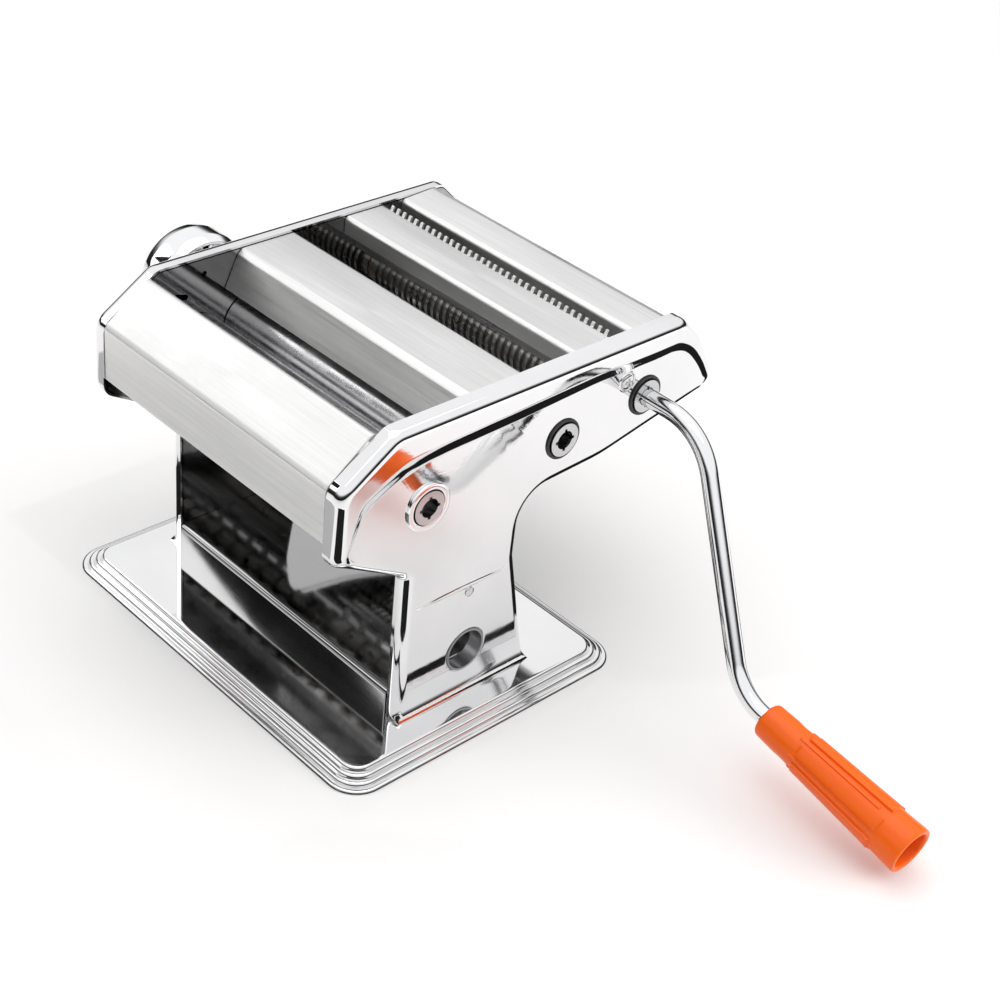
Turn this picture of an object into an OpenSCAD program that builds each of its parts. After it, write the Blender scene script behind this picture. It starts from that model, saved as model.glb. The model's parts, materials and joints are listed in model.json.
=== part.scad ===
// Hand-cranked pasta machine: smooth sheet rollers, wide-noodle cutter and
// fine-noodle cutter between two side frames on a pressed steel base.
// Origin: centre of the base underside. +X crank side, +Y cutter side, +Z up.

/* [Base] */
// Length of the base along the rollers
base_l = 202; // [190:1:215]
// Width of the base from front to back
base_w = 154; // [140:1:165]
// Corner radius of the base
base_r = 14; // [10:1:24]
// Height of the base top
base_h = 6.3; // [5:0.1:8]
// Width of each of the three pressed steps in the rim
base_step = 2.7; // [2.2:0.1:4]

/* [Body] */
// Height of the top edge of the side covers
body_h = 152.3; // [150:0.1:156]
// Half the width across the rims of the side covers
rim_x = 81.5; // [81:0.1:84]
// Depth of the face behind the rim of a side cover
face_drop = 2; // [1:0.1:2.5]
// Half the free width between the two inner frames
frame_x = 72.7; // [70:0.1:73]
// Thickness of an inner frame
frame_t = 2; // [1.5:0.1:2.2]
// Thickness of the cover sheets
sheet_t = 1; // [0.8:0.1:1.2]
// Height of the pressed line across the column
crease_z = 62.5; // [55:0.5:65]

/* [Smooth rollers] */
// Radius of the smooth rollers
smooth_r = 14; // [12:0.1:14.1]
// Front-to-back place of the driven roller
smooth_y = -28.3; // [-29:0.1:-28]
// Height of the driven roller
smooth_z = 112.2; // [111:0.1:113]
// Travel of the adjustable roller
gap_travel = 2.2; // [1.5:0.1:2.4]

/* [Cutters] */
// Distance between the two shafts of a cutter
cutter_gap = 17.5; // [17:0.1:18]
// Outer radius of the cutter discs
disc_r = 9.4; // [9:0.1:9.5]
// Radius of the grooves between the discs
groove_r = 7.6; // [7:0.1:7.7]
// Disc-to-disc pitch of the wide cutter
wide_pitch = 13; // [10:0.5:16]
// Disc-to-disc pitch of the fine cutter
fine_pitch = 4; // [3:0.5:5]

/* [Crank] */
// Radius of the crank rod
rod_r = 4; // [3.5:0.1:4.1]
// Distance of the first bend corner from the middle of the machine
bend_x = 113.4; // [108:0.1:120]
// Sideways reach of the slanting arm
arm_x = 57; // [45:1:65]
// Radial reach of the slanting arm
arm_rho = 94.6; // [80:0.1:96]
// Lean of the crank from straight down
crank_lean = 12; // [11:1:40]
// Slope of the grip away from the roller axis
grip_slope = 8.9; // [6:0.1:9]
// Length of the grip
grip_l = 80; // [70:1:82]
// Radius of the grip at its rod end
grip_r0 = 7.8; // [7:0.1:9]
// Radius of the grip at its open end
grip_r1 = 11.3; // [9:0.1:11.4]

/* [Knob] */
// Radius of the thickness knob
knob_r = 25; // [20:0.5:26]
// Distance of the knob's outer face from the middle of the machine
knob_x = 127; // [122:1:130]
// Number of thickness settings over half a turn
settings = 7; // [5:1:9]

/* [Hidden] */
$fn = 64;

// Small overlap that keeps a cut from sharing a face with what it cuts
eps = 0.1;
// Radial clearance of a running fit
run = 0.05;

// Layers outwards from the middle, the same on both sides
frame_out = frame_x + frame_t;
face_x = rim_x - face_drop;
gear_in = frame_out + 0.4;
gear_out = face_x - sheet_t - 0.4;
flange_x = frame_x + 0.3;
roller_x = frame_x - 0.5;

// Shaft places in the side view, as [y, z]
smooth_drive_at = [smooth_y, smooth_z];
smooth_idler_at = smooth_drive_at + [2 * smooth_r + 0.7, 2.8];
wide_drive_at = [44.3, 116.8];
wide_idler_at = wide_drive_at - [cutter_gap, 0];
fine_drive_at = [92.3, 121.2];
fine_idler_at = fine_drive_at - [cutter_gap, 0];

// Line through the two smooth rollers, on which their gears mesh
mesh_line = smooth_idler_at - smooth_drive_at;
mesh_angle = atan2(mesh_line[1], mesh_line[0]);

// The adjustable roller slides straight back from the driven one
ecc = gap_travel / 2;
ecc_at = smooth_idler_at + [ecc, 0];

clamp_at = [0.5, 28];
clamp_r = 9.2;
rivet_at = [-0.5, 58.6];
face_screw_at = [79.8, 131.8];
tie_rod_at = [[-62, 104], [12, 141], [62, 136], [112, 140], [118, 113]];
tie_rod_r = 3;
// Shank radius of the screws and rivets that hold a cover to its frame
shank_r = 1.6;

journal_r = 6;
idler_journal_r = 5;
bush_r = 8;
socket_r = 4.2;
socket_depth = 14;
head_r = 7.5;
head_l = 1.2;
socket_end = rim_x - 0.5;
gear_teeth = 12;

// Side view of a side cover, as [y, z, corner radius], anticlockwise
column_front = -36;
outline = [
    [column_front, base_h, 0], [38.2, base_h, 0], [25.2, 66.6, 8],
    [25.4, 95.2, 17], [70, 97.5, 60], [134.2, 110.6, 5],
    [135.4, 118.5, 8], [125.5, 138, 40], [111, body_h, 7],
    [-47.4, body_h, 9], [-74, 134.5, 9], [-74.8, 101.8, 8], [-36.3, 80, 4]
];
// Lower edge of the raised rim band, closed far outside the cover
face_edge = [
    [-110, -10, 0], [170, -10, 0], [170, 96, 0], [133.8, 113, 4],
    [123, 129.5, 20], [112.5, 137.3, 9], [-27, 134.2, 16],
    [-57.5, 124.3, 9], [-63.5, 112, 9], [-68.5, 97, 0], [-110, 85, 0]
];

// --- outline helpers -------------------------------------------------------

function unit(v) = v / norm(v);
function left_of(v) = [-v[1], v[0]];
function xy(p) = [p[0], p[1]];
function around(p, i) = p[(i + len(p)) % len(p)];

// Points of the arc that rounds corner b between a and c
function corner(a, b, c, r, steps = 6) =
    r <= 0 ? [b] :
    let (
        u = unit(a - b),
        v = unit(c - b),
        half = acos(u * v) / 2,
        centre = b + unit(u + v) * r / sin(half),
        start = b + u * r / tan(half) - centre,
        stop = b + v * r / tan(half) - centre,
        a0 = atan2(start[1], start[0]),
        sweep = (atan2(stop[1], stop[0]) - a0 + 540) % 360 - 180
    )
    [for (i = [0:steps]) centre + r * [cos(a0 + sweep * i / steps), sin(a0 + sweep * i / steps)]];

// Outline with its corners rounded
function rounded(p) = [
    for (i = [0:len(p) - 1])
        each corner(xy(around(p, i - 1)), xy(p[i]), xy(around(p, i + 1)), p[i][2])
];

// Anticlockwise outline moved inwards by d, its corner radii kept parallel
function inset(p, d) = [
    for (i = [0:len(p) - 1])
        let (
            a = xy(around(p, i - 1)),
            b = xy(p[i]),
            c = xy(around(p, i + 1)),
            n1 = left_of(unit(b - a)),
            n2 = left_of(unit(c - b)),
            q = b + (n1 + n2) * d / (1 + n1 * n2)
        )
        [q[0], q[1], p[i][2] == 0 ? 0 : max(p[i][2] - sign(cross(b - a, c - b)) * d, 0.3)]
];

// Bent sheet of thickness t along an open line of [y, z] points, t to its left
function sheet(line, t) = let (n = len(line)) concat(
    line,
    [for (i = [n - 1:-1:0])
        let (
            before = i == 0 ? left_of(unit(line[1] - line[0])) : left_of(unit(line[i] - line[i - 1])),
            after = i == n - 1 ? before : left_of(unit(line[i + 1] - line[i]))
        )
        line[i] + (before + after) * t / (1 + before * after)]
);

// --- placing helpers -------------------------------------------------------

// Extrudes a side view drawn in [y, z] from x0 to x1
module along_x(x0, x1) {
    translate([x0, 0, 0])
        rotate([90, 0, 90])
            linear_extrude(height = x1 - x0)
                children();
}

// Round bar along X at a [y, z] place
module bar_x(at, r, x0, x1) {
    translate([x0, at[0], at[1]])
        rotate([0, 90, 0])
            cylinder(r = r, h = x1 - x0);
}

// Hexagonal bar along X
module hex_x(at, r, x0, x1) {
    translate([x0, at[0], at[1]])
        rotate([0, 90, 0])
            cylinder(r = r, h = x1 - x0, $fn = 6);
}

// Turned part: profile of [radius, distance along X]
module turned_x(at, profile) {
    translate([0, at[0], at[1]])
        rotate([0, 90, 0])
            rotate_extrude()
                polygon(profile);
}

// Slot whose round ends lie d to each side of a place, along an angle
module slot_x(at, r, d0, d1, angle, x0, x1) {
    dir = [cos(angle), sin(angle)];
    bar_x(at + d0 * dir, r, x0, x1);
    bar_x(at + d1 * dir, r, x0, x1);
    translate([x0, at[0], at[1]])
        rotate([angle, 0, 0])
            translate([0, d0, -r])
                cube([x1 - x0, d1 - d0, 2 * r]);
}

// The shape as drawn and its mirror image on the other side
module both_sides() {
    children();
    mirror([1, 0, 0]) children();
}

// --- base ------------------------------------------------------------------

module rounded_slab(l, w, r, z0, z1) {
    translate([-l / 2, -w / 2 + r, z0]) cube([l, w - 2 * r, z1 - z0]);
    translate([-l / 2 + r, -w / 2, z0]) cube([l - 2 * r, w, z1 - z0]);
    for (sx = [-1, 1], sy = [-1, 1])
        translate([sx * (l / 2 - r), sy * (w / 2 - r), z0])
            cylinder(r = r, h = z1 - z0);
}

// Stack of slabs that step inwards, shrunk all round by d
module base_steps(d) {
    tops = [1.4, 3.1, 4.7, base_h];
    for (i = [0:3]) {
        in = i * base_step + d;
        low = i == 0 ? -(d > 0 ? eps : 0) : tops[i - 1] - d - eps;
        rounded_slab(base_l - 2 * in, base_w - 2 * in, base_r - in * 0.7, low, tops[i] - d);
    }
}

base_screw_x = 67;
base_screw_y = [-24, 24];

module base_plate() {
    color("silver")
    difference() {
        base_steps(0);
        base_steps(sheet_t);
        for (sx = [-1, 1], y = base_screw_y)
            translate([sx * base_screw_x, y, 0]) cylinder(r = 2.1, h = base_h + 1);
    }
}

foot_r = 9;

module rubber_feet() {
    color("dimgray")
    for (sx = [-1, 1], sy = [-1, 1])
        translate([sx * (base_l / 2 - 27), sy * (base_w / 2 - 27), 0])
            cylinder(r = foot_r, h = base_h - sheet_t);
}

// Pan-head screws that hold the frame feet to the base from below
module base_screws() {
    color("gray")
    for (sx = [-1, 1], y = base_screw_y)
        translate([sx * base_screw_x, y, base_h - sheet_t - 2])
            difference() {
                union() {
                    cylinder(r = 3.8, h = 2);
                    cylinder(r = 2, h = 9);
                }
                translate([-3, -0.5, -eps]) cube([6, 1, 1]);
            }
}

// --- side covers and frames ------------------------------------------------

// Pressed cover on the +X side without its holes
module cover_blank() {
    inner = inset(outline, sheet_t);
    difference() {
        along_x(flange_x, rim_x) polygon(rounded(outline));
        along_x(face_x, rim_x + 1) polygon(rounded(face_edge));
        along_x(flange_x - 1, face_x - sheet_t) polygon(rounded(inner));
        difference() {
            along_x(face_x - sheet_t - eps, rim_x - sheet_t) polygon(rounded(inner));
            along_x(face_x - 2, rim_x) polygon(rounded(inset(face_edge, -sheet_t)));
        }
        // The column is open below, where it stands on the base
        translate([flange_x - 1, column_front + sheet_t, base_h - 1])
            cube([face_x - sheet_t - flange_x + 1, 38.2 - column_front - 2 * sheet_t, 3]);
        bar_x(rivet_at, shank_r, face_x - 2, face_x + 1);
        bar_x(face_screw_at, shank_r, face_x - 2, face_x + 1);
    }
    // Raised line pressed across the column
    translate([face_x - eps, -35.2, crease_z - 0.6]) cube([0.4 + eps, 60.8, 1.2]);
}

bezel_hole_r = 8.6;

module right_side_cover() {
    color("silver")
    difference() {
        cover_blank();
        bar_x(clamp_at, clamp_r + sheet_t, face_x - 2, face_x + 1);
        for (at = [smooth_drive_at, wide_drive_at, fine_drive_at])
            bar_x(at, bezel_hole_r, face_x - 2, face_x + 1);
    }
}

collar_r = 9;

module left_side_cover() {
    color("silver")
    mirror([1, 0, 0])
    difference() {
        cover_blank();
        bar_x(ecc_at, collar_r, face_x - 2, face_x + 1);
    }
}

// Frame plate with its inward foot, before the shaft holes
module frame_blank() {
    difference() {
        along_x(frame_x, frame_out) polygon(rounded(inset(outline, sheet_t + 0.4)));
        for (at = tie_rod_at)
            bar_x(at, 2.1, frame_x - 1, frame_out + 1);
        for (at = [rivet_at, face_screw_at])
            bar_x(at, shank_r, frame_x - 1, frame_out + 1);
        for (at = [smooth_drive_at, wide_drive_at, wide_idler_at, fine_drive_at, fine_idler_at])
            bar_x(at, bush_r, frame_x - 1, frame_out + 1);
    }
    difference() {
        translate([frame_x - 13, -32, base_h]) cube([13 + frame_t, 64, 2]);
        for (y = base_screw_y)
            translate([base_screw_x, y, 0]) cylinder(r = 2, h = 20);
    }
}

module right_frame() {
    color("lightgray")
    difference() {
        frame_blank();
        bar_x(clamp_at, clamp_r + sheet_t, frame_x - 1, frame_out + 1);
        bar_x(ecc_at, bush_r, frame_x - 1, frame_out + 1);
    }
}

neck_r = 9.5;

module left_frame() {
    color("lightgray")
    mirror([1, 0, 0])
    difference() {
        frame_blank();
        slot_x(smooth_idler_at, neck_r + 0.5, -0.3, gap_travel + 0.3, 0, frame_x - 1, frame_out + 1);
        bar_x([-23.9, 144.3], 1.2, frame_x - 1, frame_out + 1);
        slot_x([-35.7, 136.3], 1.3, -2.2, 2.2, -15, frame_x - 1, frame_out + 1);
    }
}

// Channel that joins the feet of the two frames
module tie_plate() {
    color("silver")
    along_x(-frame_x + 0.1, frame_x - 0.1)
        polygon(sheet([
            [34, base_h], [34, 18.8], [column_front + 0.4, 18.8], [column_front + 0.4, base_h]
        ], 1.2));
}

module tie_rods() {
    color("gray")
    for (at = tie_rod_at)
        difference() {
            bar_x(at, tie_rod_r, -frame_x, frame_x);
            for (s = [-1, 1])
                bar_x(at, 2, s * (frame_x - 4) - 4 - eps, s * (frame_x - 4) + 4 + eps);
        }
}

// Screws through the frames into the ends of the tie rods
module tie_rod_screws() {
    color("gray")
    both_sides()
        for (at = tie_rod_at)
            difference() {
                union() {
                    bar_x(at, 3.6, frame_out, frame_out + 2);
                    bar_x(at, 2, frame_x - 7, frame_out + eps);
                }
                hex_x(at, 1.6, frame_out + 1, frame_out + 3);
            }
}

// Cross-head screws on the cover faces
module cover_screws() {
    color("silver")
    both_sides()
        difference() {
            union() {
                bar_x(face_screw_at, 3.6, face_x, face_x + 1);
                bar_x(face_screw_at, shank_r, frame_x, face_x + eps);
            }
            for (a = [0, 90])
                translate([face_x + 0.4, face_screw_at[0], face_screw_at[1]])
                    rotate([a, 0, 0])
                        translate([0, -2.2, -0.4])
                            cube([1, 4.4, 0.8]);
        }
}

module column_rivets() {
    color("silver")
    both_sides() {
        bar_x(rivet_at, 2.3, face_x, face_x + 0.7);
        bar_x(rivet_at, shank_r, frame_x, face_x + eps);
    }
}

// Tube that lines the clamp hole between frame and cover
module clamp_sleeve() {
    color("gray")
    difference() {
        bar_x(clamp_at, clamp_r + sheet_t, frame_x, face_x + 0.2);
        bar_x(clamp_at, clamp_r, frame_x - 1, face_x + 1);
    }
}

// --- top covers ------------------------------------------------------------

top_x = frame_x - 0.1;

// Front cover: sloping top, upright face and turned lips
module front_cover() {
    color("gainsboro")
    along_x(-top_x, top_x)
        polygon(sheet([
            [-51, 144.5], [-51.6, 149], [-53, 149.2], [-71.8, 134.6], [-73, 132.8],
            [-73, 109.5], [-70, 107.5]
        ], sheet_t));
}

// Rear cover: short level top, then down behind the fine cutter
module rear_cover() {
    color("gainsboro")
    along_x(-top_x, top_x)
        polygon(sheet([
            [128, 112.5], [131.5, 114.5], [132.2, 118], [122.6, 136], [106.5, 150.4],
            [103.5, 151.2], [87.2, 150.2], [86.3, 149.3], [86.3, 143]
        ], sheet_t));
}

plate_x = frame_x - 0.2;

// Guide plate between the sheet inlet and the wide-noodle inlet
module sheet_feed_plate() {
    color("gainsboro")
    along_x(-plate_x, plate_x)
        polygon(sheet([
            [23.7, 143], [23.7, 149.4], [22.9, 150.2], [-4, 150.2], [-6, 148.4], [-12.5, 134]
        ], sheet_t));
}

// Guide plate between the two noodle inlets; its rear edge turns up into teeth,
// one for each disc of the fine cutter
module cutter_feed_plate() {
    tooth_w = 2.1;
    tooth_foot = 148.3;
    color("gainsboro")
    difference() {
        along_x(-plate_x, plate_x)
            polygon(sheet([
                [77.1, 151.8], [75.4, 147.2], [74.2, 147.2], [73.2, 150.2], [53.8, 150.2],
                [53, 149.4], [53, 143]
            ], sheet_t));
        for (x = [-17.5 * fine_pitch:fine_pitch:17.5 * fine_pitch])
            translate([x - (fine_pitch - tooth_w) / 2, 74.6, tooth_foot])
                cube([fine_pitch - tooth_w, 5, 5]);
    }
}

// --- scrapers and combs ----------------------------------------------------

module scraper(at, side, lean) {
    along_x(-plate_x, plate_x)
        translate(at)
            rotate(side * lean)
                polygon(sheet(
                    side > 0 ? [[0, -smooth_r - 1.6], [12, -smooth_r - 2.6], [13, -smooth_r - 8]]
                             : [[-13, -smooth_r - 8], [-12, -smooth_r - 2.6], [0, -smooth_r - 1.6]],
                    1.2));
}

module front_scraper() {
    color("lightgray") scraper(smooth_drive_at, -1, 8);
}

module rear_scraper() {
    color("lightgray") scraper(smooth_idler_at, 1, 8);
}

// Comb under one cutter shaft: a bar with fingers that reach into the grooves
module comb(at, side, first, pitch, finger) {
    bar_at = at + [side * 11, -12];
    translate([-plate_x, bar_at[0] - 1.5, bar_at[1] - 3])
        cube([2 * plate_x, 3, 4]);
    for (x = [first:pitch:roller_x - finger])
        translate([x - finger / 2, at[0], at[1]])
            rotate([side > 0 ? -49 : 49, 0, 0])
                translate([0, side > 0 ? groove_r + 0.4 : -groove_r - 9.2, -1])
                    cube([finger, 8.8, 1.2]);
}

module wide_combs() {
    color("gray") {
        comb(wide_drive_at, 1, -4.5 * wide_pitch, wide_pitch, 4.5);
        comb(wide_idler_at, -1, -5 * wide_pitch, wide_pitch, 4.5);
    }
}

module fine_combs() {
    color("gray") {
        comb(fine_drive_at, 1, -17.5 * fine_pitch, fine_pitch, 1.3);
        comb(fine_idler_at, -1, -17 * fine_pitch, fine_pitch, 1.3);
    }
}

// --- bushes and bezels -----------------------------------------------------

module ring_x(at, outer, inner, x0, x1) {
    difference() {
        bar_x(at, outer, x0, x1);
        bar_x(at, inner, x0 - 1, x1 + 1);
    }
}

// Plain bearings pressed into the frames
module frame_bushes() {
    color("tan") {
        both_sides() {
            for (at = [smooth_drive_at, wide_drive_at, fine_drive_at])
                ring_x(at, bush_r, journal_r + run, frame_x - 0.2, frame_out + 0.2);
            for (at = [wide_idler_at, fine_idler_at])
                ring_x(at, bush_r, idler_journal_r + run, frame_x - 0.2, frame_out + 0.2);
        }
        ring_x(ecc_at, bush_r, shaft_r + run, frame_x - 0.2, frame_out + 0.2);
    }
}

// Turned ring round a crank hole: collar through the cover and flange on it
module bezel(at, flange_r) {
    difference() {
        union() {
            bar_x(at, flange_r, face_x, face_x + 1.3);
            bar_x(at, bezel_hole_r, face_x - sheet_t, face_x + eps);
        }
        bar_x(at, head_r + 0.4, face_x - 3, face_x + 3);
    }
}

module smooth_bezel() {
    color("silver") bezel(smooth_drive_at, 10.8);
}

module cutter_bezels() {
    color("black") {
        bezel(wide_drive_at, 9.3);
        bezel(fine_drive_at, 9.3);
    }
}

// --- gears and sockets -----------------------------------------------------

// Outline of a gear with straight-sided teeth, one of them at angle 0
function gear_points(pitch_r, depth, fill) = [
    for (i = [0:gear_teeth - 1])
        let (a = i * 360 / gear_teeth, w = 90 / gear_teeth)
        each [
            (pitch_r - depth - 0.3) * [cos(a - w * 1.8 * fill), sin(a - w * 1.8 * fill)],
            pitch_r * [cos(a - w * fill), sin(a - w * fill)],
            (pitch_r + depth) * [cos(a - w * fill * 0.42), sin(a - w * fill * 0.42)],
            (pitch_r + depth) * [cos(a + w * fill * 0.42), sin(a + w * fill * 0.42)],
            pitch_r * [cos(a + w * fill), sin(a + w * fill)],
            (pitch_r - depth - 0.3) * [cos(a + w * 1.8 * fill), sin(a + w * 1.8 * fill)]
        ]
];

module gear_x(at, pitch_r, depth, bore_r, phase, x0, x1) {
    difference() {
        translate([0, at[0], at[1]])
            along_x(x0, x1)
                rotate(phase)
                    polygon(gear_points(pitch_r, depth, 0.84));
        bar_x(at, bore_r, x0 - 1, x1 + 1);
    }
}

half_tooth = 180 / gear_teeth;
smooth_pitch_r = norm(smooth_idler_at - smooth_drive_at) / 2;
smooth_depth = 1.9;
cutter_pitch_r = cutter_gap / 2;
cutter_depth = 0.8;

// Crank socket: tube with four keyways cut through its mouth
module socket(at) {
    difference() {
        union() {
            bar_x(at, journal_r, frame_out + 0.25, socket_end);
            bar_x(at, head_r, face_x - head_l, socket_end);
        }
        bar_x(at, socket_r, frame_out - 1, socket_end + 1);
        for (a = [0:90:270])
            translate([frame_out - 1, at[0], at[1]])
                rotate([a, 0, 0])
                    translate([0, 0, -0.7])
                        cube([20, socket_r + 1, 1.4]);
    }
}

// --- smooth rollers --------------------------------------------------------

module smooth_drive_roller() {
    color("silver")
    difference() {
        union() {
            bar_x(smooth_drive_at, smooth_r, -roller_x, roller_x);
            bar_x(smooth_drive_at, journal_r, -gear_out, frame_out + 0.25);
        }
        bar_x(smooth_drive_at, socket_r, socket_end - socket_depth, frame_out + 1);
    }
}

module smooth_drive_gear() {
    color("dimgray")
    gear_x(smooth_drive_at, smooth_pitch_r, smooth_depth, journal_r, mesh_angle, -gear_out, -gear_in);
}

module smooth_socket() {
    color("silver") socket(smooth_drive_at);
}

tube_r = 10.2;
neck_bore_r = 7;

// Hollow roller with a neck on the knob side that carries its gear
module smooth_idler_roller() {
    color("silver")
    difference() {
        union() {
            bar_x(smooth_idler_at, smooth_r, -roller_x, roller_x);
            bar_x(smooth_idler_at, neck_r, -gear_out, -roller_x + eps);
        }
        bar_x(smooth_idler_at, tube_r, -roller_x + 2, roller_x + 1);
        bar_x(smooth_idler_at, neck_bore_r, -gear_out - 1, 0);
    }
}

module smooth_idler_gear() {
    color("dimgray")
    gear_x(smooth_idler_at, smooth_pitch_r, smooth_depth, neck_r,
           mesh_angle + 180 + half_tooth, -gear_out, -gear_in);
}

cam_r = 6;
bush_ends = [[-roller_x + 2.4, -roller_x + 12], [roller_x - 10, roller_x - 0.4]];

// Sliding bearings in the ends of the hollow roller, slotted for the cams
module roller_bushes() {
    color("ivory")
    for (e = bush_ends)
        difference() {
            bar_x(smooth_idler_at, tube_r - run, e[0], e[1]);
            slot_x(smooth_idler_at, cam_r + 0.35, -1.5, 1.5, 90, e[0] - 1, e[1] + 1);
        }
}

// --- thickness adjuster ----------------------------------------------------

shaft_r = 5;
shaft_end = knob_x - 5;

// Shaft turned by the knob: its two cams carry the hollow roller
module eccentric_shaft() {
    color("gray") {
        difference() {
            bar_x(ecc_at, shaft_r, -shaft_end, frame_out + 0.2);
            bar_x(ecc_at, 2, -shaft_end - 1, -shaft_end + 8);
            translate([-shaft_end - eps, ecc_at[0] - shaft_r, ecc_at[1] + shaft_r - 1])
                cube([shaft_end - 92, 2 * shaft_r, 2]);
        }
        for (e = bush_ends)
            bar_x(smooth_idler_at, cam_r, e[0], e[1]);
    }
}

// Screw and washer head on the end of the shaft, behind the knob spring
module shaft_screw() {
    color("silver") {
        bar_x(ecc_at, 7.4, -shaft_end - 1.4, -shaft_end);
        bar_x(ecc_at, 2, -shaft_end - eps, -shaft_end + 7);
    }
}

hub_x = 86;
rim_in_x = 106;
chamber_r = 8.2;
chamber_x = 110;

// Knob: rounded rim, ringed recess with lugs facing the machine, long hub
module knob() {
    lug = 180 / (settings - 1);
    color("gainsboro")
    difference() {
        union() {
            difference() {
                turned_x(ecc_at, rounded([
                    [0, -knob_x, 0], [knob_r - 6, -knob_x, 3], [knob_r - 1, -knob_x + 3, 3],
                    [knob_r, -knob_x + 8, 4], [knob_r - 0.6, -rim_in_x - 4, 4],
                    [knob_r - 3, -rim_in_x, 2.5], [0, -rim_in_x, 0]
                ]));
                ring_x(ecc_at, knob_r - 4.2, 12.5, -knob_x + 8, -rim_in_x + 1);
            }
            turned_x(ecc_at, [[0, -rim_in_x - 1], [12.5, -rim_in_x - 1], [12.5, -rim_in_x + 1],
                              [8.4, -rim_in_x + 4], [8, -hub_x], [0, -hub_x]]);
            for (i = [0:360 / lug - 1])
                translate([0, ecc_at[0], ecc_at[1]])
                    rotate([(i + 0.5) * lug, 0, 0])
                        translate([-knob_x + 8 - eps, 12, -1])
                            cube([9, knob_r - 16, 2]);
        }
        bar_x(ecc_at, chamber_r, -knob_x - 1, -chamber_x);
        difference() {
            bar_x(ecc_at, shaft_r + run, -chamber_x - 1, -hub_x + 1);
            translate([-knob_x, ecc_at[0] - shaft_r - 1, ecc_at[1] + shaft_r - 1 + run])
                cube([knob_x - 95, 2 * shaft_r + 2, 3]);
        }
    }
}

module knob_cap() {
    color("gainsboro")
    bar_x(ecc_at, chamber_r, -knob_x, -knob_x + 1.6);
}

spring_turns = 5;
spring_steps = 20;
spring_sides = 6;
wire_r = 0.55;

// Coil spring in the knob, closed at both ends by its square-cut wire
module knob_spring() {
    rings = spring_turns * spring_steps;
    x0 = -shaft_end + wire_r + 0.05;
    length = shaft_end - chamber_x - 2 * wire_r - 0.1;
    points = [
        for (i = [0:rings], k = [0:spring_sides - 1])
            let (
                a = i * 360 / spring_steps,
                b = k * 360 / spring_sides,
                r = 6.6 + wire_r * cos(b)
            )
            [x0 + length * i / rings + wire_r * sin(b),
             ecc_at[0] + r * cos(a), ecc_at[1] + r * sin(a)]
    ];
    walls = [
        for (i = [0:rings - 1], k = [0:spring_sides - 1])
            let (n = (k + 1) % spring_sides, p = i * spring_sides, q = p + spring_sides)
            each [[p + k, q + k, q + n], [p + k, q + n, p + n]]
    ];
    ends = [
        [for (k = [0:spring_sides - 1]) k],
        [for (k = [spring_sides - 1:-1:0]) rings * spring_sides + k]
    ];
    color("silver") polyhedron(points, concat(walls, ends), convexity = 8);
}

pin_radius = 16.2;
pin_r = 1.8;

// Fixed collar round the shaft, flanged on the cover, with room for the dial
module dial_collar() {
    color("gainsboro")
    difference() {
        union() {
            bar_x(ecc_at, 18.5, -rim_x, -face_x);
            bar_x(ecc_at, collar_r, -face_x - eps, -face_x + sheet_t + 0.3);
            bar_x(ecc_at, 7.5, -hub_x + 0.6, -rim_x + eps);
        }
        bar_x(ecc_at, shaft_r + run, -hub_x - 1, -70);
        bar_x(ecc_at + [0, pin_radius], pin_r, -rim_x - 1, -face_x + 1);
    }
}

// Pin beside the knob: its tip stands in the ring of lugs
module detent_pin() {
    color("silver")
    bar_x(ecc_at + [0, pin_radius], pin_r, -knob_x + 17.5, -face_x);
}

// --- cutters ---------------------------------------------------------------

// Cutter roller: discs at every pitch from -half to +half, grooves between
module cutter(at, pitch, count, centre) {
    disc = pitch / 2 - 0.16;
    half = (count - 1) / 2;
    turned_x(at, concat(
        [[0, -roller_x], [groove_r, -roller_x]],
        [for (i = [0:count - 1])
            let (x = centre + (i - half) * pitch)
            each [
                [groove_r, x - disc / 2], [disc_r, x - disc / 2],
                [disc_r, x + disc / 2], [groove_r, x + disc / 2]
            ]],
        [[groove_r, roller_x], [0, roller_x]]
    ));
}

module drive_cutter(at, pitch, count, centre) {
    difference() {
        union() {
            cutter(at, pitch, count, centre);
            bar_x(at, journal_r, -frame_out - 0.4, -roller_x + eps);
            bar_x(at, journal_r, roller_x - eps, frame_out + 0.25);
        }
        bar_x(at, socket_r, socket_end - socket_depth, frame_out + 1);
    }
}

module idler_cutter(at, pitch, count, centre) {
    cutter(at, pitch, count, centre);
    bar_x(at, idler_journal_r, -frame_out - 0.4, -roller_x + eps);
    bar_x(at, idler_journal_r, roller_x - eps, gear_out);
}

module wide_drive_cutter() {
    color("silver") drive_cutter(wide_drive_at, wide_pitch, 11, 0);
}

module wide_idler_cutter() {
    color("silver") idler_cutter(wide_idler_at, wide_pitch, 10, 0);
}

module fine_drive_cutter() {
    color("silver") drive_cutter(fine_drive_at, fine_pitch, 35, 0);
}

module fine_idler_cutter() {
    color("silver") idler_cutter(fine_idler_at, fine_pitch, 34, 0);
}

module drive_gear(at) {
    gear_x(at, cutter_pitch_r, cutter_depth, journal_r, 180, gear_in, gear_out);
}

module idler_gear(at) {
    gear_x(at, cutter_pitch_r, cutter_depth, idler_journal_r, half_tooth, gear_in, gear_out);
}

module wide_drive_gear() {
    color("dimgray") drive_gear(wide_drive_at);
}

module wide_idler_gear() {
    color("dimgray") idler_gear(wide_idler_at);
}

module fine_drive_gear() {
    color("dimgray") drive_gear(fine_drive_at);
}

module fine_idler_gear() {
    color("dimgray") idler_gear(fine_idler_at);
}

module wide_socket() {
    color("silver") socket(wide_drive_at);
}

module fine_socket() {
    color("silver") socket(fine_drive_at);
}

// --- crank -----------------------------------------------------------------

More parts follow.
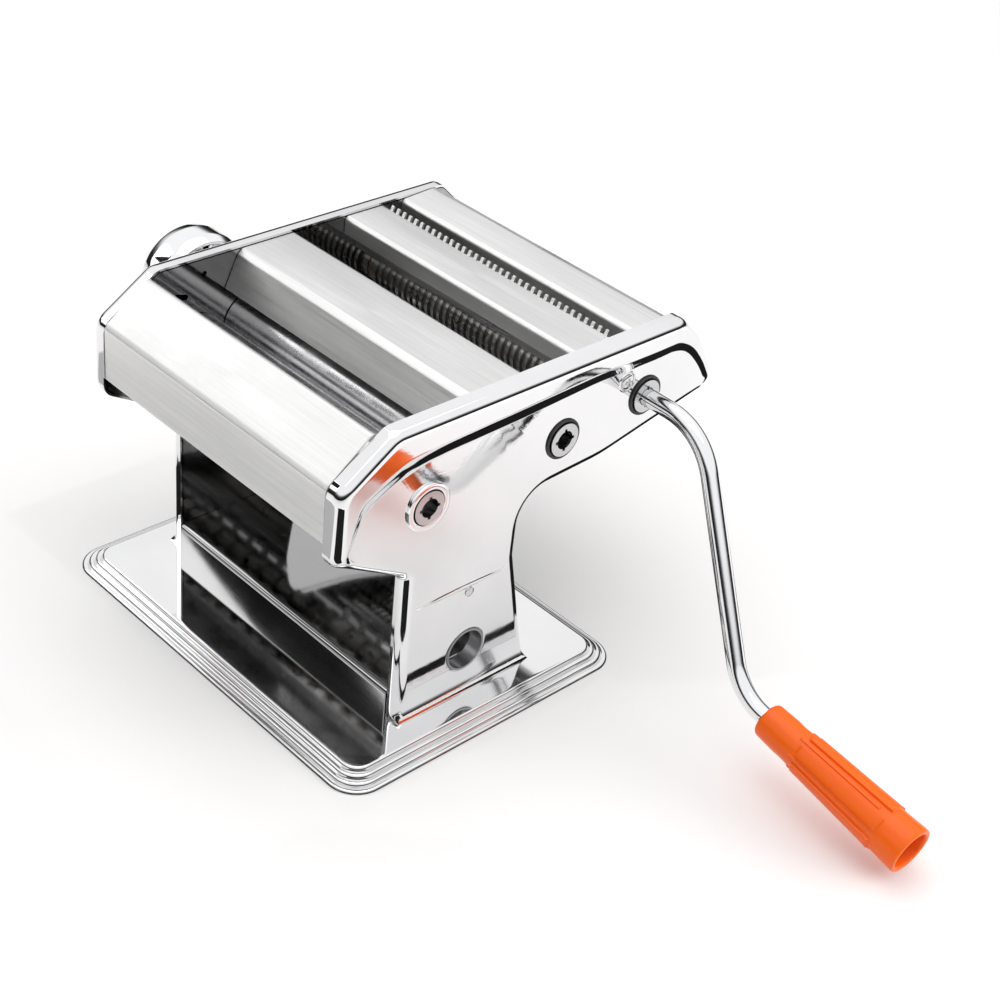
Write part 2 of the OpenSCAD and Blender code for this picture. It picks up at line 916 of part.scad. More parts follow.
crank_in = socket_end - socket_depth + 0.5;
arm_angle = atan2(arm_rho, arm_x);
arm_l = norm([arm_x, arm_rho]);
bend1_r = 34;
bend2_r = 28;
bend1_t = bend1_r * tan(arm_angle / 2);
bend2_turn = arm_angle - grip_slope;
bend2_t = bend2_r * tan(bend2_turn / 2);
// The rod thins by this much where it is bent
bend_thin = 0.03;
// Along the grip axis, measured from the corner of the second bend
grip_start = 15.6;
rod_tail = grip_start + grip_l - 15;

// Crank plane: X outwards, Y along the crank's radius, turned to its lean
module in_crank_plane() {
    translate([0, fine_drive_at[0], fine_drive_at[1]])
        rotate([-90 - crank_lean, 0, 0])
            children();
}

// Moves to the second corner with X along the grip
module at_grip_corner() {
    translate([bend_x + arm_x, arm_rho, 0])
        rotate([0, 0, grip_slope])
            children();
}

module straight(r, x0, x1) {
    translate([x0, 0, 0]) rotate([0, 90, 0]) cylinder(r = r, h = x1 - x0);
}

// Bent rod that starts at the origin along X and turns towards +Y
module bend(r, bend_r, turn) {
    translate([0, bend_r, 0])
        rotate([0, 0, -90])
            rotate_extrude(angle = turn)
                translate([bend_r, 0]) circle(r = r);
}

module crank_rod() {
    color("silver")
    in_crank_plane() {
        straight(rod_r, crank_in, bend_x - bend1_t + eps);
        translate([bend_x - bend1_t, 0, 0]) bend(rod_r - bend_thin, bend1_r, arm_angle);
        translate([bend_x, 0, 0])
            rotate([0, 0, arm_angle])
                straight(rod_r, bend1_t - eps, arm_l - bend2_t + eps);
        at_grip_corner()
            translate([bend2_t, 0, 0])
                rotate([0, 0, 180])
                    bend(rod_r - bend_thin, bend2_r, bend2_turn);
        at_grip_corner() straight(rod_r, bend2_t - eps, rod_tail);
        // Key that turns the socket
        for (a = [0, 90])
            rotate([a + crank_lean, 0, 0])
                translate([frame_out + 0.5, -socket_r - 0.5, -0.5])
                    cube([5, 2 * socket_r + 1, 1]);
    }
}

grip_bore_end = grip_l - 17;

// Hollow tapered grip with collars at both ends and raised lengthwise ribs
module grip() {
    ribs = 8;
    taper = atan2(grip_r1 - grip_r0, grip_l);
    color("orangered")
    in_crank_plane() at_grip_corner() translate([grip_start, 0, 0])
    difference() {
        union() {
            rotate([0, 90, 0])
                rotate_extrude()
                    polygon(rounded([
                        [0, 0, 0], [grip_r0, 0, 1], [grip_r0 + 0.4, 10, 3], [grip_r0 - 0.4, 12, 1],
                        [grip_r1 - 1.6, grip_l - 16, 1], [grip_r1, grip_l - 14, 1],
                        [grip_r1, grip_l, 0.8], [0, grip_l, 0]
                    ]));
            for (i = [0:ribs - 1])
                rotate([i * 360 / ribs, 0, 0])
                    translate([12, 0, grip_r0 - 1.2])
                        rotate([0, -taper, 0])
                            translate([0, -1.9, 0])
                                cube([grip_l - 28, 3.8, 2]);
        }
        straight(rod_r + 0.08, -1, grip_bore_end);
        straight(grip_r1 - 3, grip_bore_end, grip_l + 1);
    }
}

// Push-on cap that keeps the grip on the rod
module grip_retainer() {
    color("silver")
    in_crank_plane() at_grip_corner()
        difference() {
            straight(6.6, rod_tail - 1.4, rod_tail + 1);
            straight(rod_r, rod_tail - 3, rod_tail);
        }
}

base_plate();
rubber_feet();
base_screws();
tie_plate();
right_side_cover();
left_side_cover();
right_frame();
left_frame();
tie_rods();
tie_rod_screws();
cover_screws();
column_rivets();
clamp_sleeve();
front_cover();
rear_cover();
sheet_feed_plate();
cutter_feed_plate();
front_scraper();
rear_scraper();
wide_combs();
fine_combs();
frame_bushes();
smooth_bezel();
cutter_bezels();
smooth_drive_roller();
smooth_drive_gear();
smooth_socket();
smooth_idler_roller();
smooth_idler_gear();
roller_bushes();
eccentric_shaft();
shaft_screw();
knob();
knob_cap();
knob_spring();
dial_collar();
detent_pin();
wide_drive_cutter();
wide_drive_gear();
wide_socket();
wide_idler_cutter();
wide_idler_gear();
fine_drive_cutter();
fine_drive_gear();
fine_socket();
fine_idler_cutter();
fine_idler_gear();
crank_rod();
grip();
grip_retainer();
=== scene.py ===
"""Looks of the pasta roller machine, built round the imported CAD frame.

Lengths are in millimetres until a mesh is made. X runs along the rollers towards the crank,
Y towards the noodle cutters, Z up. Profiles of the side covers and plates are in Y and Z.
"""
import json
import math

import bmesh
import bpy
from mathutils import Matrix, Vector
from mathutils.geometry import delaunay_2d_cdt

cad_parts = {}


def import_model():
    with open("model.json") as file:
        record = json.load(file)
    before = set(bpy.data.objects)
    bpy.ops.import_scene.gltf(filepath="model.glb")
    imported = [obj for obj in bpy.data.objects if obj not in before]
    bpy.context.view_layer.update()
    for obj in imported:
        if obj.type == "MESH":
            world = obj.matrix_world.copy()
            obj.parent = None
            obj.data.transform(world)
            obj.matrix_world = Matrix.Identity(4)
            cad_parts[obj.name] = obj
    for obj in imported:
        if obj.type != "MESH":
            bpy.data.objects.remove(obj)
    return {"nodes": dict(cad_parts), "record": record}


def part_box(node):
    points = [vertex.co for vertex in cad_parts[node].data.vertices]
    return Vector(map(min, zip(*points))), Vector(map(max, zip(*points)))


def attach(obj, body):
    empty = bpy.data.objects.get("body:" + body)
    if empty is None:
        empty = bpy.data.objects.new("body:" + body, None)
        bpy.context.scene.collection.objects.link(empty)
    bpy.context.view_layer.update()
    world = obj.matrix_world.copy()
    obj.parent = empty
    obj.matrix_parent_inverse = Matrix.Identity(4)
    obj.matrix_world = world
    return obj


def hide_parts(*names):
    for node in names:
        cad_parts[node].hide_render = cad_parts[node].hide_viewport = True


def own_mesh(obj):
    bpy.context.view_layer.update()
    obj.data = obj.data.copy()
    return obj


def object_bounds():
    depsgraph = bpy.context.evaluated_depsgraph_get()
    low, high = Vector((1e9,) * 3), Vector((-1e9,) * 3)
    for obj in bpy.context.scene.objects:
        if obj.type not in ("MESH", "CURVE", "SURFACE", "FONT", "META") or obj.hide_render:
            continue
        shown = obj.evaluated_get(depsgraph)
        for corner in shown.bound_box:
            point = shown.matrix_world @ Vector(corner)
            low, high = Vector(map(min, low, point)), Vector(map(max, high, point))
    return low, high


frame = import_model()
cad_lo, cad_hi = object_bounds()
MM = 0.001


# --- where the CAD frame puts things ---------------------------------------

def node_box(node):
    """Lowest and highest corner of a CAD node in millimetres."""
    lo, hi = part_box(node)
    return lo / MM, hi / MM


def axis_of(node):
    """(y, z) of a turned node that lies along X."""
    lo, hi = node_box(node)
    return ((lo.y + hi.y) / 2, (lo.z + hi.z) / 2)


SMOOTH_AT = axis_of("smooth_socket")
WIDE_AT = axis_of("wide_socket")
FINE_AT = axis_of("fine_socket")
KNOB_AT = axis_of("knob")
COVER_LO, COVER_HI = node_box("right_side_cover")
RIM_X = COVER_HI.x
FLANGE_X = COVER_LO.x
BEAD_H = 2.0
FACE_X = RIM_X - BEAD_H
SHEET = 1.0
BASE_HI = node_box("base_plate")[1]
BASE_TOP = BASE_HI.z
CLAMP_AT = (0.5, 28.0)
CLAMP_R = 9.2
RIVET_AT = (-0.5, 58.6)
FACE_SCREW_AT = (79.8, 131.8)


# --- plane curves -----------------------------------------------------------

def rounded(points, closed=True, step=6.0):
    """Corners (a, b, radius) joined by straight lines, each corner replaced by an arc."""
    out = []
    count = len(points)
    for i, (a, b, radius) in enumerate(points):
        p = Vector((a, b))
        if radius <= 0 or (not closed and i in (0, count - 1)):
            out.append(p)
            continue
        before = Vector(points[i - 1][:2]) - p
        after = Vector(points[(i + 1) % count][:2]) - p
        half = before.angle(after) / 2
        reach = min(radius / math.tan(half), 0.49 * before.length, 0.49 * after.length)
        r = reach * math.tan(half)
        u, v = before.normalized(), after.normalized()
        centre = p + (u + v).normalized() * (r / math.sin(half))
        turn = math.pi - 2 * half
        steps = max(2, math.ceil(math.degrees(turn) / step))
        start = p + u * reach - centre
        side = 1 if u.x * v.y - u.y * v.x < 0 else -1
        for k in range(steps + 1):
            w = side * turn * k / steps
            c, s = math.cos(w), math.sin(w)
            out.append(centre + Vector((start.x * c - start.y * s, start.x * s + start.y * c)))
    return out


def split_long(points, longest):
    """A closed outline with extra points on its long lines."""
    out = []
    for i, p in enumerate(points):
        q = points[(i + 1) % len(points)]
        pieces = max(1, math.ceil((q - p).length / longest))
        out += [p.lerp(q, k / pieces) for k in range(pieces)]
    return out


def inward_normals(points):
    """Unit normals that point into a counter-clockwise outline."""
    out = []
    for i in range(len(points)):
        d = (points[(i + 1) % len(points)] - points[i - 1]).normalized()
        out.append(Vector((-d.y, d.x)))
    return out


def circle(centre, radius, count):
    return [
        Vector((centre[0] + radius * math.cos(2 * math.pi * k / count),
                centre[1] + radius * math.sin(2 * math.pi * k / count)))
        for k in range(count)
    ]


def inside(point, loop):
    """True if a point is inside a closed loop."""
    hit = False
    for i, a in enumerate(loop):
        b = loop[i - 1]
        if (a.y > point.y) != (b.y > point.y):
            if point.x < a.x + (b.x - a.x) * (point.y - a.y) / (b.y - a.y):
                hit = not hit
    return hit


def smoothstep(low, high, value):
    t = min(1.0, max(0.0, (value - low) / (high - low)))
    return t * t * (3 - 2 * t)


# --- meshes -----------------------------------------------------------------

def finish_mesh(name, bm, sharp=32):
    """Turns a bmesh in millimetres into an object in metres, smooth except at its sharp edges."""
    bmesh.ops.remove_doubles(bm, verts=bm.verts, dist=1e-4)
    bmesh.ops.recalc_face_normals(bm, faces=bm.faces)
    for f in bm.faces:
        f.smooth = True
    for e in bm.edges:
        e.smooth = len(e.link_faces) == 2 and e.calc_face_angle(0) < math.radians(sharp)
    bmesh.ops.scale(bm, vec=(MM, MM, MM), verts=bm.verts)
    mesh = bpy.data.meshes.new(name)
    bm.to_mesh(mesh)
    bm.free()
    obj = bpy.data.objects.new(name, mesh)
    bpy.context.scene.collection.objects.link(obj)
    return obj


def skin(bm, loops, closed_across=False, closed_along=True):
    """Quads between loops of vertices that have the same count."""
    rows = len(loops)
    for j in range(rows if closed_across else rows - 1):
        a, b = loops[j], loops[(j + 1) % rows]
        count = len(a)
        for i in range(count if closed_along else count - 1):
            k = (i + 1) % count
            quad = [a[i], a[k], b[k], b[i]]
            corners = [v for n, v in enumerate(quad) if v not in quad[:n]]
            if len(corners) > 2 and not bm.faces.get(corners):
                bm.faces.new(corners)


def lathe_into(bm, profile, at, segments=96, axis=None, closed=False):
    """Revolves (along, radius) points about X through at, or about axis = (origin, direction)."""
    if axis is None:
        origin, direction = Vector((0, at[0], at[1])), Vector((1, 0, 0))
    else:
        origin, direction = Vector(axis[0]), Vector(axis[1]).normalized()
    side = direction.cross(Vector((0, 0, 1)))
    if side.length < 1e-6:
        side = Vector((1, 0, 0))
    side.normalize()
    up = side.cross(direction)
    loops = []
    for along, radius in profile:
        centre = origin + direction * along
        if radius < 1e-6:
            loops.append([bm.verts.new(centre)] * segments)
            continue
        loops.append([
            bm.verts.new(centre + (side * math.cos(w) + up * math.sin(w)) * radius)
            for w in (2 * math.pi * k / segments for k in range(segments))
        ])
    skin(bm, loops, closed_across=closed)


def turned(name, corners, at, segments=96, closed=False, sharp=32, axis=None, step=12.0):
    """A turned piece; corners are (along, radius, fillet)."""
    bm = bmesh.new()
    profile = [(p.x, p.y) for p in rounded(corners, closed, step)]
    lathe_into(bm, profile, at, segments, axis, closed)
    return finish_mesh(name, bm, sharp)


def sheet_loop(line, thickness):
    """Closed outline of a bent sheet whose outer face follows an open line."""
    ahead = []
    for i, p in enumerate(line):
        a = line[max(0, i - 1)]
        b = line[min(len(line) - 1, i + 1)]
        d = (b - a).normalized()
        ahead.append(Vector((-d.y, d.x)))
    back = [p - n * thickness for p, n in zip(line, ahead)]
    return line + back[::-1]


def bent_sheet(name, corners, thickness, x0, x1, soft=0.25):
    """Sheet bent along lines parallel to X, with slightly rounded ends."""
    line = rounded(corners, closed=False, step=8.0)
    bm = bmesh.new()
    loop = sheet_loop(line, thickness)
    stations = [(x0, soft), (x0 + soft, 0)]
    spans = 12
    stations += [(x0 + soft + (x1 - x0 - 2 * soft) * k / spans, 0) for k in range(1, spans)]
    stations += [(x1 - soft, 0), (x1, soft)]
    middle = sheet_loop(line, thickness / 2)[len(line):][::-1]
    middle = middle + middle[::-1]
    loops = []
    for x, draw in stations:
        share = draw / (thickness / 2)
        ring = [p.lerp(m, share) for p, m in zip(loop, middle)]
        loops.append([bm.verts.new((x, p.x, p.y)) for p in ring])
    skin(bm, loops)
    half = len(line)
    for ring in (loops[0], loops[-1]):
        for i in range(half - 1):
            bm.faces.new([ring[i], ring[i + 1], ring[-i - 2], ring[-i - 1]])
    return finish_mesh(name, bm)


def tube_into(bm, path, radius, normal, segments=40, caps=True):
    """Round bar along a path that lies in the plane with this normal."""
    loops = []
    for i, p in enumerate(path):
        ahead = (path[min(i + 1, len(path) - 1)] - path[max(i - 1, 0)]).normalized()
        side = ahead.cross(normal).normalized()
        loops.append([
            bm.verts.new(p + (side * math.cos(w) + normal * math.sin(w)) * radius)
            for w in (2 * math.pi * k / segments for k in range(segments))
        ])
    skin(bm, loops)
    if caps:
        bm.faces.new(loops[0])
        bm.faces.new(loops[-1])


def box_into(bm, lo, hi, matrix=None):
    made = bmesh.ops.create_cube(bm, size=1)["verts"]
    lo, hi = Vector(lo), Vector(hi)
    for v in made:
        v.co = Vector(((v.co.x + 0.5) * (hi.x - lo.x) + lo.x,
                       (v.co.y + 0.5) * (hi.y - lo.y) + lo.y,
                       (v.co.z + 0.5) * (hi.z - lo.z) + lo.z))
        if matrix is not None:
            v.co = matrix @ v.co
    return made


def thicken(obj):
    """Gives a pressed skin its sheet thickness and keeps the flat areas flat in the light."""
    solid = obj.modifiers.new("sheet", "SOLIDIFY")
    solid.thickness = SHEET * MM
    solid.offset = -1
    flat = obj.modifiers.new("flat", "WEIGHTED_NORMAL")
    flat.keep_sharp = True


def stands_for(obj, body, slot, *nodes):
    """Puts a finished piece on its body, in place of CAD nodes, with its slot's material."""
    obj.data.materials.clear()
    obj.data.materials.append(MATERIALS[slot])
    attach(obj, body)
    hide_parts(*nodes)
    return obj


def mirrored(obj, name):
    """A copy on the other side of the YZ plane."""
    twin = obj.copy()
    twin.data = obj.data.copy()
    twin.name = name
    bpy.context.scene.collection.objects.link(twin)
    twin.data.transform(Matrix.Scale(-1, 4, (1, 0, 0)))
    twin.data.flip_normals()
    return twin


# --- materials --------------------------------------------------------------

def nodes_of(name):
    m = bpy.data.materials.new(name)
    m.use_nodes = True
    tree = m.node_tree
    shader = tree.nodes["Principled BSDF"]
    coord = tree.nodes.new("ShaderNodeTexCoord")
    return m, tree, shader, coord


def noise(tree, coord, scale, stretch=(1, 1, 1), detail=3.0, rough=0.5):
    mapping = tree.nodes.new("ShaderNodeMapping")
    mapping.inputs["Scale"].default_value = stretch
    tree.links.new(coord.outputs["Object"], mapping.inputs["Vector"])
    n = tree.nodes.new("ShaderNodeTexNoise")
    n.inputs["Scale"].default_value = scale
    n.inputs["Detail"].default_value = detail
    n.inputs["Roughness"].default_value = rough
    tree.links.new(mapping.outputs["Vector"], n.inputs["Vector"])
    return n.outputs["Fac"]


def spread(tree, value, low, high, out_low, out_high):
    r = tree.nodes.new("ShaderNodeMapRange")
    r.inputs["From Min"].default_value = low
    r.inputs["From Max"].default_value = high
    r.inputs["To Min"].default_value = out_low
    r.inputs["To Max"].default_value = out_high
    tree.links.new(value, r.inputs["Value"])
    return r.outputs["Result"]


def joined(tree, operation, a, b):
    m = tree.nodes.new("ShaderNodeMath")
    m.operation = operation
    for socket, value in zip(m.inputs, (a, b)):
        if isinstance(value, (int, float)):
            socket.default_value = value
        else:
            tree.links.new(value, socket)
    return m.outputs[0]


def tinted(tree, factor, dark, light):
    mix = tree.nodes.new("ShaderNodeMix")
    mix.data_type = "RGBA"
    mix.inputs[6].default_value = (*dark, 1)
    mix.inputs[7].default_value = (*light, 1)
    tree.links.new(factor, mix.inputs[0])
    return mix.outputs[2]


def bumped(tree, shader, height, distance, strength=1.0):
    b = tree.nodes.new("ShaderNodeBump")
    b.inputs["Strength"].default_value = strength
    b.inputs["Distance"].default_value = distance
    tree.links.new(height, b.inputs["Height"])
    tree.links.new(b.outputs["Normal"], shader.inputs["Normal"])


def worn_edges(tree):
    """1 on worn convex edges, 0 elsewhere."""
    g = tree.nodes.new("ShaderNodeNewGeometry")
    return spread(tree, g.outputs["Pointiness"], 0.52, 0.60, 0.0, 1.0)


def polished(name, colour, roughness, smudge=0.05, wave=0.0, grain=1.0):
    """Bright metal with finger smudges, fine rubbing marks and a hint of pressing waviness."""
    m, tree, shader, coord = nodes_of(name)
    shader.inputs["Metallic"].default_value = 1.0
    large = noise(tree, coord, 22, detail=4)
    marks = noise(tree, coord, 260, stretch=(0.35, 1.0, 2.4), detail=5, rough=0.6)
    film = spread(tree, large, 0.42, 0.72, roughness, roughness + smudge)
    fine = spread(tree, marks, 0.35, 0.75, -0.008 * grain, 0.012 * grain)
    tree.links.new(joined(tree, "ADD", film, fine), shader.inputs["Roughness"])
    dull = tuple(c * 0.93 for c in colour)
    tree.links.new(tinted(tree, spread(tree, large, 0.35, 0.7, 1, 0), dull, colour),
                   shader.inputs["Base Color"])
    height = joined(tree, "MULTIPLY", marks, 0.02 * grain)
    if wave:
        swell = joined(tree, "MULTIPLY", noise(tree, coord, 14, detail=1), wave)
        height = joined(tree, "ADD", height, swell)
    bumped(tree, shader, height, 0.0004)
    return m


def brushed(name, colour, roughness, along=(0.02, 1, 1), scale=900, depth=0.00003):
    """Satin sheet with fine parallel brush lines."""
    m, tree, shader, coord = nodes_of(name)
    shader.inputs["Metallic"].default_value = 1.0
    shader.inputs["Anisotropic"].default_value = 0.35
    lines = noise(tree, coord, scale, stretch=along, detail=4, rough=0.7)
    large = noise(tree, coord, 30, detail=3)
    rough = joined(tree, "ADD", spread(tree, lines, 0.3, 0.7, roughness - 0.05, roughness + 0.07),
                   spread(tree, large, 0.4, 0.7, 0.0, 0.06))
    tree.links.new(rough, shader.inputs["Roughness"])
    dark = tuple(c * 0.88 for c in colour)
    tree.links.new(tinted(tree, spread(tree, lines, 0.3, 0.7, 0, 1), dark, colour),
                   shader.inputs["Base Color"])
    bumped(tree, shader, lines, depth)
    return m


def machined(name, colour, roughness):
    """Turned steel with fine rings across the axis and a trace of oil."""
    m, tree, shader, coord = nodes_of(name)
    shader.inputs["Metallic"].default_value = 1.0
    rings = noise(tree, coord, 1500, stretch=(1, 0.05, 0.05), detail=3)
    oil = noise(tree, coord, 60, detail=3)
    tree.links.new(spread(tree, oil, 0.4, 0.7, roughness - 0.06, roughness + 0.1),
                   shader.inputs["Roughness"])
    dark = tuple(c * 0.8 for c in colour)
    tree.links.new(tinted(tree, rings, dark, colour), shader.inputs["Base Color"])
    bumped(tree, shader, rings, 0.00002)
    return m


def moulded(name, colour, worn, roughness, specular=0.5, grain=0.00004, coat=0.0):
    """Moulded plastic or rubber: fine skin texture, scuffs and paler worn edges."""
    m, tree, shader, coord = nodes_of(name)
    shader.inputs["Metallic"].default_value = 0.0
    shader.inputs["Specular IOR Level"].default_value = specular
    shader.inputs["Coat Weight"].default_value = coat
    shader.inputs["Coat Roughness"].default_value = 0.2
    skin_noise = noise(tree, coord, 1400, detail=3)
    scuff = noise(tree, coord, 90, detail=5, rough=0.65)
    rough = joined(tree, "ADD", spread(tree, scuff, 0.45, 0.75, roughness, roughness + 0.16),
                   spread(tree, skin_noise, 0.3, 0.7, -0.03, 0.03))
    tree.links.new(rough, shader.inputs["Roughness"])
    edge = joined(tree, "MULTIPLY", worn_edges(tree), spread(tree, scuff, 0.4, 0.6, 0.25, 0.9))
    tree.links.new(tinted(tree, edge, colour, worn), shader.inputs["Base Color"])
    bumped(tree, shader, skin_noise, grain)
    return m


MATERIALS = {
    "base_chrome": polished("base_chrome", (0.83, 0.83, 0.83), 0.055, 0.03, wave=0.02, grain=0.35),
    "panel_chrome": polished("panel_chrome", (0.84, 0.84, 0.845), 0.03, 0.04, wave=0.05),
    # Base colour held darker than bare steel: painted shade for the frames and tie plate inside the machine
    "polished_sheet": polished("polished_sheet", (0.38, 0.38, 0.38), 0.05, 0.03, wave=0.03, grain=0.35),
    "brushed_sheet": brushed("brushed_sheet", (0.84, 0.84, 0.83), 0.36),
    "rubber": moulded("rubber", (0.03, 0.03, 0.032), (0.08, 0.08, 0.08), 0.7, 0.3, 0.0001),
    "screw_steel": machined("screw_steel", (0.62, 0.62, 0.63), 0.3),
    "screw_chrome": polished("screw_chrome", (0.68, 0.68, 0.69), 0.16, 0.08),
    # Base colour held darker than bare steel: painted shade for the rods and combs inside the machine
    "rod_steel": machined("rod_steel", (0.4, 0.4, 0.41), 0.3),
    "bush_bronze": machined("bush_bronze", (0.55, 0.36, 0.18), 0.35),
    "bezel_chrome": polished("bezel_chrome", (0.93, 0.93, 0.94), 0.06, 0.05),
    "black_plastic": moulded("black_plastic", (0.012, 0.012, 0.013), (0.06, 0.06, 0.06), 0.3, 0.5),
    "roller_steel": machined("roller_steel", (0.72, 0.72, 0.73), 0.26),
    "socket_steel": polished("socket_steel", (0.6, 0.6, 0.61), 0.18, 0.08),
    "white_nylon": moulded("white_nylon", (0.78, 0.77, 0.74), (0.85, 0.85, 0.83), 0.45),
    "knob_chrome": polished("knob_chrome", (0.88, 0.885, 0.89), 0.05, 0.05),
    # Both base colours held darker than bare steel: painted shade for the cutters and gears inside the
    # machine
    "cutter_steel": machined("cutter_steel", (0.5, 0.49, 0.47), 0.3),
    "gear_steel": machined("gear_steel", (0.3, 0.3, 0.31), 0.38),
    "crank_chrome": polished("crank_chrome", (0.86, 0.865, 0.875), 0.06, 0.05),
    "orange_plastic": moulded("orange_plastic", (0.88, 0.12, 0.0), (0.9, 0.2, 0.02), 0.3, 0.3, coat=0.05),
}

# CAD pieces that stay visible take the material of their slot
for part in frame["record"]["subparts"]:
    cad = frame["nodes"][part["node"]]
    cad.data.materials.clear()
    cad.data.materials.append(MATERIALS[part["material_slot"]])


# --- side covers ------------------------------------------------------------

COVER_OUTLINE = [
    (-36, BASE_TOP, 0), (38.2, BASE_TOP, 0), (25.2, 66.6, 8), (25.4, 95.2, 17), (70, 97.5, 60),
    (134.2, 110.6, 5), (135.4, 118.5, 8), (125.5, 138, 40), (111, 152.3, 7), (-47.4, 152.3, 9),
    (-74, 134.5, 9), (-74.8, 101.8, 8), (-36.3, 80, 4),
]
# Raised bead: points on the outline, the bead's inner edge opposite them, and its share of the height
BEAD = [
    ((134.8, 112.5), (130.6, 113.6), 0.0), ((135.2, 117), (130.0, 117.2), 0.8),
    ((131.5, 126.5), (125.2, 124.8), 1.0), ((125.5, 138), (118.6, 132), 1.0),
    ((118, 145.4), (113.2, 136.2), 1.0), ((111, 152.3), (106, 137.3), 1.0),
    ((97, 152.3), (96, 136.8), 1.0), ((61, 152.3), (61, 137.4), 1.0), ((17, 152.3), (17, 135.0), 1.0),
    ((-21, 152.3), (-21, 133.8), 1.0), ((-36, 152.3), (-32, 132.6), 1.0),
    ((-47.4, 152.3), (-41, 130.2), 1.0), ((-60.7, 143.4), (-50, 127), 1.0),
    ((-74, 134.5), (-57.6, 123.8), 1.0), ((-74.4, 124), (-61.6, 119), 1.0),
    ((-74.6, 113), (-64.6, 111), 1.0), ((-74.8, 105), (-67.4, 104.4), 0.85),
    ((-66, 96.8), (-63.6, 100.6), 0.0),
]
# The column's foot: points on the outline and the end of the flared band above them
FOOT = [
    ((-36, 22), (-31.2, 22)), ((-36, BASE_TOP), (-31.2, 12.5)), ((-22, BASE_TOP), (-22, 12.5)),
    ((24, BASE_TOP), (24, 12.5)), ((38.2, BASE_TOP), (31.6, 12.5)), ((34.8, 22), (29.8, 22)),
]
# Width of the edge band where no bead is, and the radius of the cover's outer edge
EDGE_BAND = 4.6
EDGE_R = 4.6
# Rings across the band; BAND_CROWDING above 1 puts more of them at the outer edge
BAND_STEPS = 34
BAND_CROWDING = 1.35
# Share of the band's width that the bead stays high for, and how much of its fall is straight
BEAD_TOP = 0.64
STRAIGHT_FALL = 0.65
SMOOTHING_PASSES = 12
OUTLINE_STEP = 1.6
# The outline's points below this height stand on the base
FOOT_TOP = BASE_TOP + 0.01
FLARE_OUT, FLARE_H = 1.7, 6.2


def along_outline(points):
    """Distance along the outline up to each point."""
    total, out = 0.0, []
    for i, p in enumerate(points):
        out.append(total)
        total += (points[(i + 1) % len(points)] - p).length
    return out, total


def nearest_index(points, target):
    t = Vector(target)
    return min(range(len(points)), key=lambda i: (points[i] - t).length)


def band_targets(points):
    """For each outline point: the inner end of its edge band, and the bead's share there."""
    normals = inward_normals(points)
    inner = [p + n * EDGE_BAND for p, n in zip(points, normals)]
    share = [0.0] * len(points)
    lengths, total = along_outline(points)

    def between(keys):
        for (o0, i0, a0), (o1, i1, a1) in zip(keys, keys[1:]):
            k0, k1 = nearest_index(points, o0), nearest_index(points, o1)
            span = (lengths[k1] - lengths[k0]) % total
            k = k0
            while True:
                t = ((lengths[k] - lengths[k0]) % total) / span
                inner[k] = Vector(i0).lerp(Vector(i1), t)
                share[k] = a0 + (a1 - a0) * t
                if k == k1:
                    break
                k = (k + 1) % len(points)

    between([(o, i, 0.0) for o, i in FOOT])
    between(BEAD)
    for _ in range(SMOOTHING_PASSES):
        count = len(points)
        inner = [
            p if points[k].y < FOOT_TOP else (inner[k - 1] + p * 2 + inner[(k + 1) % count]) / 4
            for k, p in enumerate(inner)
        ]
        share = [(share[k - 1] + s * 2 + share[(k + 1) % count]) / 4 for k, s in enumerate(share)]
    return inner, share


def foot_flare(z):
    """How far the face flares outwards near the base."""
    return FLARE_OUT * max(0.0, 1 - (z - BASE_TOP) / FLARE_H) ** 2


def cover_rings(points):
    """Rings of (y, z, x) from the outer edge to the flat face."""
    inner, share = band_targets(points)
    rings = []
    for j in range(BAND_STEPS + 1):
        t = (j / BAND_STEPS) ** BAND_CROWDING
        ring = []
        for p, q, a in zip(points, inner, share):
            width = (q - p).length
            d = t * width
            radius = EDGE_R if p.y > FOOT_TOP else 0.0
            drop = 0.0
            if d < radius:
                drop = radius - math.sqrt(radius ** 2 - (radius - d) ** 2)
            fall = max(0.0, (t - BEAD_TOP) / (1 - BEAD_TOP))
            rise = BEAD_H * a * (1 - STRAIGHT_FALL * fall - (1 - STRAIGHT_FALL) * smoothstep(0, 1, fall))
            at = p.lerp(q, t)
            ring.append((at.x, at.y, FACE_X + rise - drop + foot_flare(at.y)))
        rings.append(ring)
    return rings


def crease_rings():
    """Pointed raised line across the column: rings of (y, z, x) from its foot inwards."""
    middle, half_l, half_w = (-5.2, 62.5), 25.2, 1.5
    count = 40
    rings = []
    for scale, rise in ((1.0, 0.0), (0.72, 0.12), (0.5, 0.34), (0.25, 0.42)):
        ring = []
        for k in range(2 * count):
            u = -1 + 2 * (k / count) if k < count else 1 - 2 * ((k - count) / count)
            side = -1 if k < count else 1
            w = half_w * scale * (1 - u * u)
            length = half_l * (0.9 + 0.1 * scale)
            ring.append((middle[0] + u * length, middle[1] + side * w, FACE_X + rise))
        rings.append(ring)
    return rings


def hole_rings(at, radius, steps, count=64):
    """Rings of (y, z, x) round a hole; steps are (extra radius, rise) from outside to its edge."""
    return [
        [(p.x, p.y, FACE_X + rise) for p in circle(at, radius + extra, count)]
        for extra, rise in steps
    ]


# (extra radius, rise above the face) from the outside of a hole's edge to its wall
PLAIN_HOLE = ((1.4, 0.0), (0.7, 0.0), (0.35, -0.05), (0.12, -0.2), (0.0, -0.5), (0.0, -1.0))
SCREW_PATCH = ((3.7, 0.0), (3.3, 0.0), (3.15, 0.16), (2.95, 0.42), (2.7, 0.5), (2.45, 0.42),
               (2.25, 0.12), (2.1, -0.1), (0.3, -0.1), (0.0, -0.15), (0.0, -0.6))


